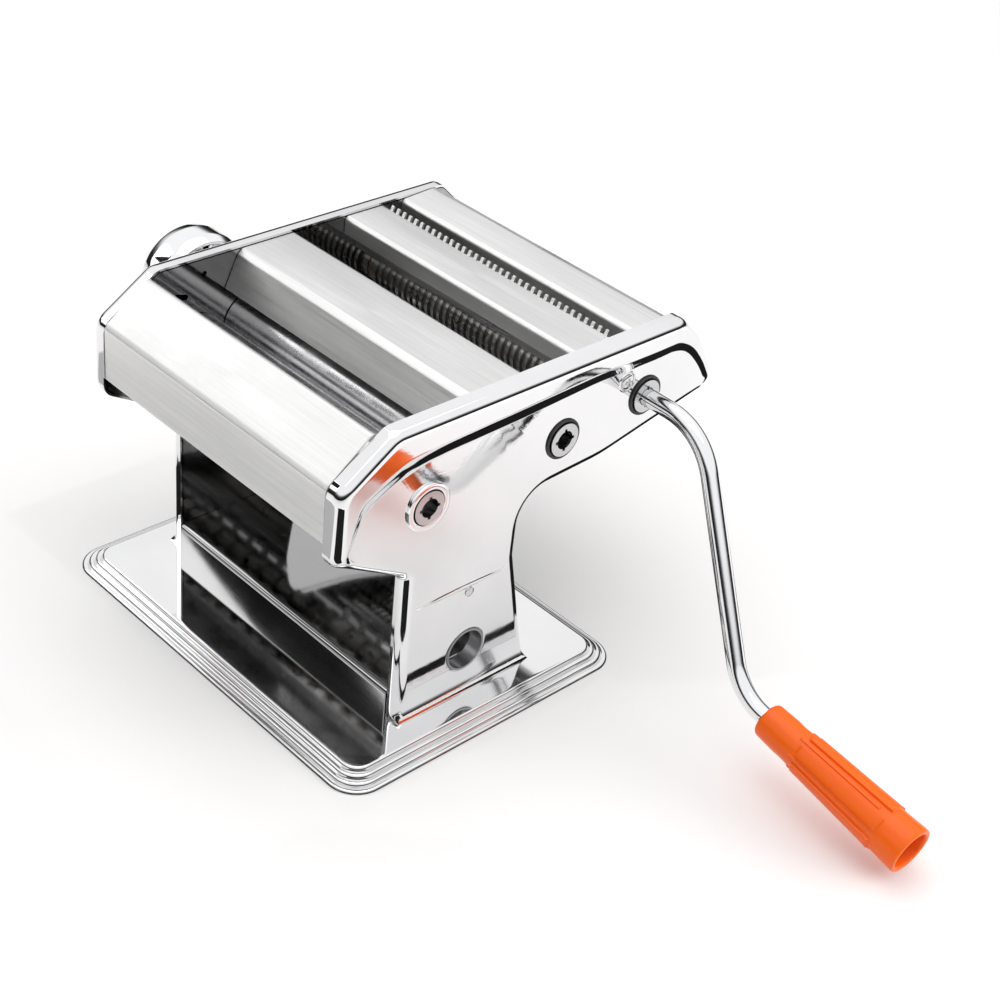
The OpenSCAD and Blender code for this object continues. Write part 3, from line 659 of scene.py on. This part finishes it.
def side_cover(name, hole_list):
    """Pressed cover of the crank side; hole_list has the arguments of hole_rings."""
    points = split_long(rounded(COVER_OUTLINE, step=5.0), OUTLINE_STEP)
    bm = bmesh.new()
    rings = cover_rings(points)
    wall = [
        [(y, z, FLANGE_X + (x - FLANGE_X) * t) for y, z, x in rings[0]]
        for t in (0, 0.3, 0.65, 0.92)
    ]
    loops = [[bm.verts.new((x, y, z)) for y, z, x in ring] for ring in wall + rings]
    skin(bm, loops)
    inner_loops = []
    for ring_set in [hole_rings(*h) for h in hole_list] + [crease_rings()]:
        made = [[bm.verts.new((x, y, z)) for y, z, x in ring] for ring in ring_set]
        skin(bm, made)
        inner_loops.append(made)
    crest = inner_loops[-1][-1]
    half = len(crest) // 2
    for i in range(half):
        corners = [crest[i], crest[(i + 1) % len(crest)], crest[(-i - 1) % len(crest)], crest[-i]]
        corners = [v for n, v in enumerate(corners) if v not in corners[:n]]
        if len(corners) > 2 and not bm.faces.get(corners):
            bm.faces.new(corners)
    fill_face(bm, loops[-1], [made[0] for made in inner_loops])
    obj = finish_mesh(name, bm, sharp=40)
    thicken(obj)
    return obj


def fill_face(bm, border, holes):
    """Flat triangles between a border loop and hole loops."""
    loops = [border] + holes
    verts = [v for loop in loops for v in loop]
    flat = [Vector((v.co.y, v.co.z)) for v in verts]
    edges, start = [], 0
    for loop in loops:
        count = len(loop)
        edges += [(start + i, start + (i + 1) % count) for i in range(count)]
        start += count
    out_v, _, faces, origin, _, _ = delaunay_2d_cdt(flat, edges, [], 0, 1e-5)
    border_2d = [Vector((v.co.y, v.co.z)) for v in border]
    holes_2d = [[Vector((v.co.y, v.co.z)) for v in loop] for loop in holes]
    lookup = {k: verts[o[0]] for k, o in enumerate(origin) if o}
    for f in faces:
        middle = (out_v[f[0]] + out_v[f[1]] + out_v[f[2]]) / 3
        if not inside(middle, border_2d) or any(inside(middle, h) for h in holes_2d):
            continue
        corners = [lookup[k] for k in f if k in lookup]
        if len(set(corners)) == 3:
            bm.faces.new(corners)


FASTENER_HOLE_R = 1.6
SHARED_HOLES = [(RIVET_AT, FASTENER_HOLE_R, PLAIN_HOLE[1:5], 24),
                (FACE_SCREW_AT, FASTENER_HOLE_R, SCREW_PATCH, 40)]
KNOB_HOLE_R = 9.0
BEZEL_HOLE_R = 8.6
BEZEL_BORE = 7.9
CUTTER_BEZEL_R = 9.2
right_cover = side_cover("side_cover_right", SHARED_HOLES + [(CLAMP_AT, CLAMP_R + SHEET, PLAIN_HOLE)] + [
    (at, BEZEL_HOLE_R, PLAIN_HOLE[1:]) for at in (SMOOTH_AT, WIDE_AT, FINE_AT)
])
stands_for(right_cover, "chassis", "panel_chrome", "right_side_cover")
plain_cover = side_cover("cover_left_plain", SHARED_HOLES + [(KNOB_AT, KNOB_HOLE_R, PLAIN_HOLE)])
left_cover = mirrored(plain_cover, "side_cover_left")
bpy.data.objects.remove(plain_cover)
stands_for(left_cover, "chassis", "panel_chrome", "left_side_cover")


# --- base -------------------------------------------------------------------

BASE_R = 14.0
BASE_STEP = 2.7
STEP_TOPS = (1.4, 3.1, 4.7, BASE_TOP)


def base_ring(inset, z):
    """Rounded rectangle of (x, y, z), drawn in from the base's outer edge."""
    r = BASE_R - 0.7 * inset
    x = BASE_HI.x - inset - r
    y = BASE_HI.y - inset - r
    out = []
    arc = 20
    for cx, cy, start in ((x, y, 0), (-x, y, 90), (-x, -y, 180), (x, -y, 270)):
        for k in range(arc + 1):
            w = math.radians(start + 90 * k / arc)
            out.append((cx + r * math.cos(w), cy + r * math.sin(w), z))
    return out


def ridge_profile():
    """(inset, z) from the lower outer edge over the rounded ridges to the panel."""
    out = [(0.0, 0.0), (0.0, 0.4), (0.15, 0.9), (0.5, 1.25), (0.95, 1.4), (1.5, 1.4),
           (2.0, 1.25), (2.3, 1.05)]
    low = 1.0
    for k, top in enumerate(STEP_TOPS[1:]):
        start = BASE_STEP * (k + 1) - 0.25
        rise = top - low
        for t in (0.1, 0.3, 0.5, 0.7, 0.86, 1.0):
            w = t * math.pi / 2
            out.append((start + 1.25 * (1 - math.cos(w)), low + rise * math.sin(w)))
        if top == STEP_TOPS[-1]:
            out += [(start + 2.0, top), (start + 3.0, top)]
        else:
            low = top - 0.42
            out += [(start + 1.55, top - 0.03), (start + 1.9, top - 0.14), (start + 2.2, top - 0.28),
                    (start + 2.45, low)]
    return out


def base():
    """Pressed base with stepped ridges round a flat panel."""
    bm = bmesh.new()
    loops = [[bm.verts.new(p) for p in base_ring(i, z)] for i, z in ridge_profile()]
    skin(bm, loops)
    bm.faces.new(loops[-1])
    obj = finish_mesh("base_plate_pressed", bm, sharp=50)
    for f in obj.data.polygons:
        if len(f.vertices) > 4:
            f.use_smooth = True
    thicken(obj)
    return obj


stands_for(base(), "chassis", "base_chrome", "base_plate")


# --- bent covers and guide plates -------------------------------------------

def plate_ends(node):
    lo, hi = node_box(node)
    return lo.x, hi.x


# Slot and outer face, as (y, z, bend radius), of each plain bent sheet
PLATES = {
    "front_cover": ("brushed_sheet", [
        (-51, 144.5, 0), (-51.6, 149, 0.8), (-53, 149.2, 1.4), (-71.8, 134.6, 1.6), (-73, 132.8, 1.4),
        (-73, 109.5, 1.2), (-70, 107.5, 0)]),
    "rear_cover": ("brushed_sheet", [
        (128, 112.5, 0), (131.5, 114.5, 2), (132.2, 118, 2), (122.6, 136, 6), (106.5, 150.4, 4),
        (103.5, 151.2, 3), (87.2, 150.2, 0.8), (86.3, 149.3, 0.8), (86.3, 143, 0)]),
    "sheet_feed_plate": ("brushed_sheet", [
        (23.7, 143, 0), (23.7, 149.4, 0.8), (22.9, 150.2, 0.8), (-4, 150.2, 1.5), (-6, 148.4, 1.5),
        (-12.5, 134, 0)]),
}
for plate, (plate_slot, plate_corners) in PLATES.items():
    x0, x1 = plate_ends(plate)
    stands_for(bent_sheet(plate + "_sheet", plate_corners, SHEET, x0, x1), "chassis", plate_slot, plate)

FINE_PITCH = 4.0
TEETH_EACH_SIDE = 17
TOOTH_W = 1.7
TOOTH_ROOT, TOOTH_H, TOOTH_EDGE = -0.6, 3.95, 0.35
TOOTH_FOOT, TOOTH_TIP = Vector((75.7, 148.1)), Vector((77.1, 151.8))


def toothed_plate():
    """Guide plate between the noodle inlets, with one upturned tooth for each fine cutter disc."""
    x0, x1 = plate_ends("cutter_feed_plate")
    line = [(TOOTH_FOOT.x, TOOTH_FOOT.y, 0), (75.4, 147.2, 0.5), (74.2, 147.2, 0.5), (73.2, 150.2, 0.6),
            (53.8, 150.2, 0.8), (53, 149.4, 0.8), (53, 143, 0)]
    obj = bent_sheet("cutter_feed_plate_sheet", line, SHEET, x0, x1)
    bm = bmesh.new()
    bm.from_mesh(obj.data)
    bmesh.ops.scale(bm, vec=(1 / MM, 1 / MM, 1 / MM), verts=bm.verts)
    rise = (TOOTH_TIP - TOOTH_FOOT).normalized()
    side = Vector((-rise.y, rise.x))
    for i in range(-TEETH_EACH_SIDE, TEETH_EACH_SIDE + 1):
        teeth = []
        for along, draw in ((TOOTH_ROOT, 0), (TOOTH_H - 0.45, 0), (TOOTH_H, TOOTH_EDGE)):
            ring = []
            for dx, across in ((-1, 0), (1, 0), (1, 1), (-1, 1)):
                q = TOOTH_FOOT + rise * along + side * (0.5 + (across - 0.5) * (SHEET - draw))
                ring.append(bm.verts.new((i * FINE_PITCH + dx * (TOOTH_W / 2 - draw / 2), q.x, q.y)))
            teeth.append(ring)
        skin(bm, teeth)
        bm.faces.new(teeth[0])
        bm.faces.new(teeth[-1])
    bpy.data.objects.remove(obj)
    return finish_mesh("cutter_feed_plate_toothed", bm)


stands_for(toothed_plate(), "chassis", "brushed_sheet", "cutter_feed_plate")

TIE_LO, TIE_HI = node_box("tie_plate")
stands_for(bent_sheet("tie_channel", [
    (TIE_HI.y, TIE_LO.z, 0), (TIE_HI.y, TIE_HI.z, 2.2), (TIE_LO.y, TIE_HI.z, 2.2), (TIE_LO.y, TIE_LO.z, 0)],
    SHEET, TIE_LO.x, TIE_HI.x), "chassis", "polished_sheet", "tie_plate")


# --- bezels, screws, rivets --------------------------------------------------

def several(name, makers, sharp=32):
    """One piece made of several solids."""
    bm = bmesh.new()
    for maker in makers:
        maker(bm)
    return finish_mesh(name, bm, sharp)


def ring_maker(at, inner, outer, x0, x1, fillet=0.7):
    """Maker of a turned ring between two radii, rounded at x1."""
    corners = [(x0, inner, 0.2), (x0, outer, 0.2), (x1, outer, fillet), (x1, inner, fillet * 0.7)]
    profile = [(p.x, p.y) for p in rounded(corners, True, 15)]
    return lambda bm: lathe_into(bm, profile, at, 96, None, True)


BEZEL_LO, BEZEL_HI = node_box("smooth_bezel")
# (radius, height) of the heads on the side covers
SCREW_HEAD, RIVET_HEAD = (3.35, 1.25), (2.3, 0.75)
stands_for(several("bezel_bright", [
    ring_maker(SMOOTH_AT, BEZEL_BORE, (BEZEL_HI.y - BEZEL_LO.y) / 2, FACE_X, BEZEL_HI.x, 0.8)]),
    "chassis", "bezel_chrome", "smooth_bezel")
BLACK_X = node_box("cutter_bezels")[1].x - 0.5
stands_for(several("bezels_black", [
    ring_maker(at, BEZEL_BORE, CUTTER_BEZEL_R, FACE_X, BLACK_X, 0.45)
    for at in (WIDE_AT, FINE_AT)]), "chassis", "black_plastic", "cutter_bezels")


def screw_head_into(bm, at, radius, height, sign, cross):
    """Domed head on the face at x = sign * FACE_X, with a pressed cross if asked."""
    segments, rings = 72, 18
    loops = []
    for j in range(rings + 1):
        r = radius * math.sin(0.5 * math.pi * (1 - j / rings))
        loop = []
        for k in range(segments):
            w = 2 * math.pi * k / segments
            y, z = r * math.cos(w), r * math.sin(w)
            x = height * (0.25 + 0.75 * math.sqrt(max(0.0, 1 - (r / radius) ** 2)))
            if cross:
                reach = max(abs(y), abs(z))
                narrow = min(abs(y), abs(z))
                arm = 1 - smoothstep(0.3, 0.5, narrow)
                x -= 0.55 * arm * (1 - smoothstep(0.55, 0.62, reach / radius))
            loop.append(bm.verts.new((sign * (FACE_X + x), at[0] + y, at[1] + z)))
        if j == 0:
            loops.append([bm.verts.new((sign * (FACE_X - 0.3), v.co.y, v.co.z)) for v in loop])
        loops.append(loop)
    skin(bm, loops)
    bm.faces.new(loops[0])


def both_heads(at, radius, height, cross=False):
    """Maker of the same head on both side covers."""
    def maker(bm):
        for sign in (-1, 1):
            screw_head_into(bm, at, radius, height, sign, cross)
    return maker


stands_for(several("cover_screw_heads", [both_heads(FACE_SCREW_AT, *SCREW_HEAD, True)], 50),
           "chassis", "screw_chrome", "cover_screws")
stands_for(several("column_rivet_heads", [both_heads(RIVET_AT, *RIVET_HEAD)], 50),
           "chassis", "screw_chrome", "column_rivets")


# --- crank and grip ----------------------------------------------------------

LEAN = math.radians(12)
CRANK_ORIGIN = Vector((0, FINE_AT[0], FINE_AT[1]))
CRANK_DOWN = Vector((0, -math.sin(LEAN), -math.cos(LEAN)))
CRANK_NORMAL = Vector((1, 0, 0)).cross(CRANK_DOWN)
ROD_R = 4.0
CRANK_IN = node_box("crank_rod")[0].x
# The two bends, as (distance along X, distance down the crank, bend radius)
BEND_1, BEND_2 = (113.4, 0.0, 34), (113.4 + 57, 94.6, 28)
KEY_FROM, KEY_TO, KEY_REACH, KEY_HALF_W = 75.2, 80.2, 4.7, 0.5
GRIP_SLOPE = math.radians(8.9)
GRIP_START, GRIP_L, ROD_TAIL = 15.6, 80.0, 80.6
GRIP_R0, GRIP_R1 = 7.8, 11.3


def crank_point(x, radius):
    """Point of the crank's plane, x along the drive axis and radius down from it."""
    return CRANK_ORIGIN + Vector((x, 0, 0)) + CRANK_DOWN * radius


GRIP_AXIS = (Vector((math.cos(GRIP_SLOPE), 0, 0)) + CRANK_DOWN * math.sin(GRIP_SLOPE)).normalized()
GRIP_FROM = crank_point(BEND_2[0], BEND_2[1]) + GRIP_AXIS * GRIP_START


def crank():
    """Bent rod with the cross key that turns the socket."""
    tail = (BEND_2[0] + ROD_TAIL * math.cos(GRIP_SLOPE), BEND_2[1] + ROD_TAIL * math.sin(GRIP_SLOPE), 0)
    corners = [(CRANK_IN, 0, 0), (CRANK_IN + 0.8, 0, 0), BEND_1, BEND_2, tail]
    line = rounded(corners, closed=False, step=3)
    path = [crank_point(p.x, p.y) for p in line]
    bm = bmesh.new()
    tube_into(bm, path, ROD_R, CRANK_NORMAL, 48)
    key = Matrix.Translation(CRANK_ORIGIN)
    for turn in (0, 90):
        spin = Matrix.Rotation(math.radians(turn), 4, "X")
        box_into(bm, (KEY_FROM, -KEY_REACH, -KEY_HALF_W), (KEY_TO, KEY_REACH, KEY_HALF_W), key @ spin)
    # Two small swaged ears stop the grip from sliding back
    for side in (-1, 1):
        lathe_into(bm, [(0, 0), (0, 0.8), (0.9, 0.6), (1.0, 0)], None, 16,
                   (GRIP_FROM - GRIP_AXIS * 1.4 + CRANK_NORMAL * side * (ROD_R - 0.2), CRANK_NORMAL * side))
    return finish_mesh("crank_bar", bm)


stands_for(crank(), "crank", "crank_chrome", "crank_rod")

PADS = 6
PAD_RISE = 1.0
PAD_FROM, PAD_TO = 22.0, 66.5
# How much thinner the grip's body is between its pads than at its widest
PAD_STEP = 0.9
ROD_BORE_R = ROD_R + 0.08
CUP_DEPTH = 17


def pad_height(angle, along):
    """Raised lengthwise pads of the grip, with a narrow rib between each two."""
    turn = (angle / (2 * math.pi) * PADS) % 1.0
    off = abs(turn - 0.5)
    pad = 1 - smoothstep(0.27, 0.30, off)
    rib = smoothstep(0.425, 0.445, off)
    ends = smoothstep(PAD_FROM - 0.4, PAD_FROM + 0.4, along)
    ends *= 1 - smoothstep(PAD_TO - 0.4, PAD_TO + 0.4, along)
    rib_ends = smoothstep(PAD_FROM - 3.4, PAD_FROM - 2.2, along)
    rib_ends *= 1 - smoothstep(PAD_TO - 5, PAD_TO - 4, along)
    return PAD_RISE * max(pad * ends, 0.55 * rib * rib_ends)


def grip():
    """Tapered grip with a bore for the rod and an open cup at its end."""
    side = CRANK_NORMAL.normalized()
    up = side.cross(GRIP_AXIS).normalized()
    segments = 360
    stations = [(0.0, -1.6), (0.12, -1.0), (0.45, -0.5), (1.0, -0.14), (1.7, 0.0)]
    along = 2.5
    while along < GRIP_L - 2:
        stations.append((along, 0.0))
        near_step = min(abs(along - PAD_FROM), abs(along - PAD_TO), abs(along - PAD_FROM + 3),
                        abs(along - PAD_TO + 4.5)) < 1.4
        along += 0.2 if near_step else 1.3
    stations += [(GRIP_L - 1.2, 0.0), (GRIP_L - 0.5, -0.12), (GRIP_L - 0.12, -0.4), (GRIP_L, -0.8)]
    bm = bmesh.new()
    loops = []
    for at, draw in stations:
        body_r = GRIP_R0 + (GRIP_R1 - PAD_STEP - GRIP_R0) * min(1.0, at / (GRIP_L - 12)) + draw
        body_r += 0.5 * PAD_STEP * smoothstep(PAD_TO + 1, GRIP_L - 1, at)
        body_r -= 0.25 * smoothstep(12, 14, at) * (1 - smoothstep(64, 68, at))
        loop = []
        for k in range(segments):
            w = 2 * math.pi * k / segments
            r = min(body_r + pad_height(w, at), GRIP_R1)
            out = side * math.cos(w) + up * math.sin(w)
            loop.append(bm.verts.new(GRIP_FROM + GRIP_AXIS * at + out * r))
        loops.append(loop)
    inner = [(GRIP_L - 0.1, GRIP_R1 - 2.2), (GRIP_L - 0.5, GRIP_R1 - 2.7), (GRIP_L - 1.2, GRIP_R1 - 2.95),
             (GRIP_L - CUP_DEPTH, GRIP_R1 - 3.3), (GRIP_L - CUP_DEPTH - 0.2, ROD_R + 1.2),
             (GRIP_L - CUP_DEPTH, ROD_BORE_R), (0.4, ROD_BORE_R), (0.0, ROD_R + 0.5)]
    for at, r in inner:
        loops.append([
            bm.verts.new(GRIP_FROM + GRIP_AXIS * at + (side * math.cos(w) + up * math.sin(w)) * r)
            for w in (2 * math.pi * k / segments for k in range(segments))
        ])
    skin(bm, loops, closed_across=True)
    return finish_mesh("grip_handle", bm, sharp=60)


stands_for(grip(), "grip", "orange_plastic", "grip")


# --- knob --------------------------------------------------------------------

KNOB_LO, KNOB_HI = node_box("knob")
KNOB_X = KNOB_LO.x
KNOB_R = (KNOB_HI.y - KNOB_LO.y) / 2
CHAMBER_R = 8.2
CHAMBER_END = KNOB_X + 17
SHAFT_BORE_R = 5.06
HUB_R = 12.5
LUGS = 12
LUG_HALF_W, LUG_L, LUG_EDGE = 1, 9, 0.35
RECESS_FLOOR = KNOB_X + 8
RIM_IN = KNOB_X + 21


def knob():
    """Hollow knob with a spring chamber, and lugs that the detent pin catches between."""
    bm = bmesh.new()
    profile = rounded([
        (KNOB_X, CHAMBER_R, 0.4), (KNOB_X, KNOB_R - 6, 3), (KNOB_X + 3, KNOB_R - 1, 3),
        (KNOB_X + 8, KNOB_R, 5),
        (RIM_IN - 4, KNOB_R - 0.5, 5), (RIM_IN, KNOB_R - 2.6, 2.2), (RIM_IN, KNOB_R - 4.2, 1.2),
        (RECESS_FLOOR, KNOB_R - 4.2, 1.0), (RECESS_FLOOR, HUB_R, 1.0), (RIM_IN + 1, HUB_R, 1.4),
        (RIM_IN + 4, 8.4, 1.2), (KNOB_HI.x, 8, 0.7), (KNOB_HI.x, SHAFT_BORE_R, 0),
        (CHAMBER_END, SHAFT_BORE_R, 0), (CHAMBER_END, CHAMBER_R, 0)], True, 10)
    lathe_into(bm, [(p.x, p.y) for p in profile], KNOB_AT, 128, None, True)
    for i in range(LUGS):
        spin = Matrix.Translation((0, KNOB_AT[0], KNOB_AT[1])) @ Matrix.Rotation(
            2 * math.pi * (i + 0.5) / LUGS, 4, "X")
        lug = box_into(bm, (RECESS_FLOOR - 0.2, HUB_R - 0.3, -LUG_HALF_W),
                       (RECESS_FLOOR + LUG_L, KNOB_R - 3.9, LUG_HALF_W), spin)
        edges = {e for v in lug for e in v.link_edges}
        bmesh.ops.bevel(bm, geom=list(edges), offset=LUG_EDGE, segments=2, affect="EDGES", profile=0.5)
    return finish_mesh("knob_rim", bm, sharp=38)


stands_for(knob(), "knob", "knob_chrome", "knob")
stands_for(turned("knob_end_cap", [
    (KNOB_X + 1.6, 0, 0), (KNOB_X + 1.6, CHAMBER_R - 0.1, 0.1), (KNOB_X + 0.1, CHAMBER_R - 0.1, 0.8),
    (KNOB_X, CHAMBER_R - 2.4, 0.6), (KNOB_X + 0.35, CHAMBER_R - 3.4, 0.6), (KNOB_X + 0.1, 0, 0)],
    KNOB_AT, 96), "knob", "knob_chrome", "knob_cap")

COLLAR_X = node_box("dial_collar")[0].x
stands_for(turned("dial_collar_ring", [
    (-RIM_X + 2.4, SHAFT_BORE_R, 0), (-RIM_X + 2.4, 8.9, 0.3), (-FACE_X, 9.0, 0), (-FACE_X, 18.5, 0.3),
    (-RIM_X + 0.6, 18.5, 0.8), (-RIM_X, 17, 1.0), (-RIM_X, 9.6, 1.2), (-RIM_X - 1.2, 7.5, 1.0),
    (COLLAR_X, 7.5, 0.5), (COLLAR_X, SHAFT_BORE_R, 0)], KNOB_AT, 128, closed=True),
    "chassis", "knob_chrome", "dial_collar")

SPRING_LO, SPRING_HI = node_box("knob_spring")
WIRE_R = 0.55
WIRE_SIDES = 10


def knob_spring():
    """Round wire wound about the adjuster's shaft."""
    turns, steps = 5, 36
    mid_r = (SPRING_HI.y - SPRING_LO.y) / 2 - WIRE_R
    x0, length = SPRING_LO.x + WIRE_R, SPRING_HI.x - SPRING_LO.x - 2 * WIRE_R
    bm = bmesh.new()
    loops = []
    for i in range(turns * steps + 1):
        w = 2 * math.pi * i / steps
        out = Vector((0, math.cos(w), math.sin(w)))
        centre = Vector((x0 + length * i / (turns * steps), KNOB_AT[0], KNOB_AT[1])) + out * mid_r
        loops.append([
            bm.verts.new(centre + (out * math.cos(b) + Vector((1, 0, 0)) * math.sin(b)) * WIRE_R)
            for b in (2 * math.pi * k / WIRE_SIDES for k in range(WIRE_SIDES))
        ])
    skin(bm, loops)
    bm.faces.new(loops[0])
    bm.faces.new(loops[-1])
    return finish_mesh("knob_spring_coil", bm)


coil = stands_for(knob_spring(), "adjuster", "screw_steel", "knob_spring")


# --- camera, floor, light, size ----------------------------------------------

# The camera fitted to the photograph: its place, its axes and its focal length in pixels of 1000
CAMERA = Vector((514.9, -447.5, 525.6)) * MM
RIGHT = Vector((0.6794, 0.7279, 0.0929))
FORWARD = Vector((-0.5704, 0.6035, -0.5572))
FOCAL_PX = 1899.0
SENSOR = 36.0
FLOOR_HALF = 30000
FLOOR_GAP = 0.0002


def camera():
    data = bpy.data.cameras.new("camera")
    data.sensor_width = SENSOR
    data.lens = FOCAL_PX / 1000 * SENSOR
    data.shift_x = -0.003
    data.shift_y = -0.003
    data.clip_start = 0.01
    data.clip_end = 50
    obj = bpy.data.objects.new("camera", data)
    bpy.context.scene.collection.objects.link(obj)
    back = -FORWARD.normalized()
    up = back.cross(RIGHT).normalized()
    right = up.cross(back).normalized()
    obj.matrix_world = Matrix((
        (right.x, up.x, back.x, CAMERA.x),
        (right.y, up.y, back.y, CAMERA.y),
        (right.z, up.z, back.z, CAMERA.z),
        (0, 0, 0, 1)))
    bpy.context.scene.camera = obj


def floor():
    bm = bmesh.new()
    s = FLOOR_HALF
    bm.faces.new([bm.verts.new(p) for p in ((-s, -s, 0), (s, -s, 0), (s, s, 0), (-s, s, 0))])
    obj = finish_mesh("floor", bm)
    obj.location.z = cad_lo.z - FLOOR_GAP
    m, _, shader, _ = nodes_of("floor")
    shader.inputs["Base Color"].default_value = (0.86, 0.85, 0.84, 1)
    shader.inputs["Roughness"].default_value = 0.6
    obj.data.materials.append(m)


def reflection_card(name, corners, level=0.012):
    """Card seen only in reflections, never by the camera, lighting nothing and casting no shadow: a painted
    reflection that gives bright metal its dark or grey tones.
    """
    bm = bmesh.new()
    bm.faces.new([bm.verts.new(p) for p in corners])
    obj = finish_mesh(name, bm)
    m, _, shader, _ = nodes_of(name)
    shader.inputs["Base Color"].default_value = (level, level, level, 1)
    shader.inputs["Roughness"].default_value = 0.9
    shader.inputs["Specular IOR Level"].default_value = 0.0
    obj.data.materials.append(m)
    obj.visible_camera = False
    obj.visible_diffuse = False
    obj.visible_shadow = False


def sky(azimuth, elevation, distance=1300):
    """Point in a direction from the origin, angles in degrees."""
    a, e = math.radians(azimuth), math.radians(elevation)
    return Vector((math.cos(a) * math.cos(e), math.sin(a) * math.cos(e), math.sin(e))) * distance


def area_light(name, place, target, size, power, in_mirrors=True):
    """Soft light, lengths in metres; the metal reflects it only if in_mirrors is true."""
    data = bpy.data.lights.new(name, "AREA")
    data.shape = "RECTANGLE"
    data.size, data.size_y = size
    data.energy = power
    obj = bpy.data.objects.new(name, data)
    bpy.context.scene.collection.objects.link(obj)
    obj.location = place
    obj.rotation_euler = (Vector(target) - Vector(place)).to_track_quat("-Z", "Y").to_euler()
    obj.visible_glossy = in_mirrors


def world():
    """White studio whose far walls fall off to a dark strip at the horizon."""
    w = bpy.data.worlds.new("studio")
    bpy.context.scene.world = w
    w.use_nodes = True
    tree = w.node_tree
    background = tree.nodes["Background"]
    coord = tree.nodes.new("ShaderNodeTexCoord")
    split = tree.nodes.new("ShaderNodeSeparateXYZ")
    tree.links.new(coord.outputs["Generated"], split.inputs["Vector"])
    ramp = tree.nodes.new("ShaderNodeValToRGB")
    stops = ramp.color_ramp.elements
    stops[0].position = 0.49
    stops[0].color = (0.55, 0.55, 0.55, 1)
    stops[1].position = 0.50
    stops[1].color = (0.01, 0.01, 0.011, 1)
    for place, level in ((0.60, 0.02), (0.65, 0.15), (0.70, 0.8), (0.74, 1.0), (1.0, 1.0)):
        stop = stops.new(place)
        stop.color = (level, level, level * 1.01, 1)
    tree.links.new(spread(tree, split.outputs["Z"], -1, 1, 0, 1), ramp.inputs["Fac"])
    tree.links.new(ramp.outputs["Color"], background.inputs["Color"])
    background.inputs["Strength"].default_value = 1.05


camera()
floor()
world()
# Painted reflections: dark cards, and one grey card, that only the metal shows in its reflections
reflection_card("reflection_card_floor", [(x, y, 0.1) for x, y in (
    (-150, -82), (106, -82), (106, 60), (138, 100), (165, 150), (165, 260), (-150, 260))])
reflection_card("reflection_card_corner", [(x, y, 0.1) for x, y in (
    (98, -98), (146, -50), (290, -110), (240, -240), (130, -290))])
reflection_card("reflection_card_front", [sky(a, e) for a, e in ((216.5, 27), (229, 27), (229, 47), (216.5, 47))])
reflection_card("reflection_card_grey", [(x, y, 0.2) for x, y in ((-260, -260), (20, -260), (20, -150), (-260, -150))], 0.42)
area_light("top", (-0.1, 0.1, 1.6), (0, 0, 0.1), (1.4, 1.4), 7)
area_light("left", (-1.2, -0.9, 0.9), (0, 0, 0.1), (0.9, 1.0), 3.5)
area_light("fill", (1.2, 1.0, 0.5), (0.05, 0.1, 0), (1.2, 0.8), 13, in_mirrors=False)

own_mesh(coil)
bpy.context.scene.view_settings.view_transform = "Standard"
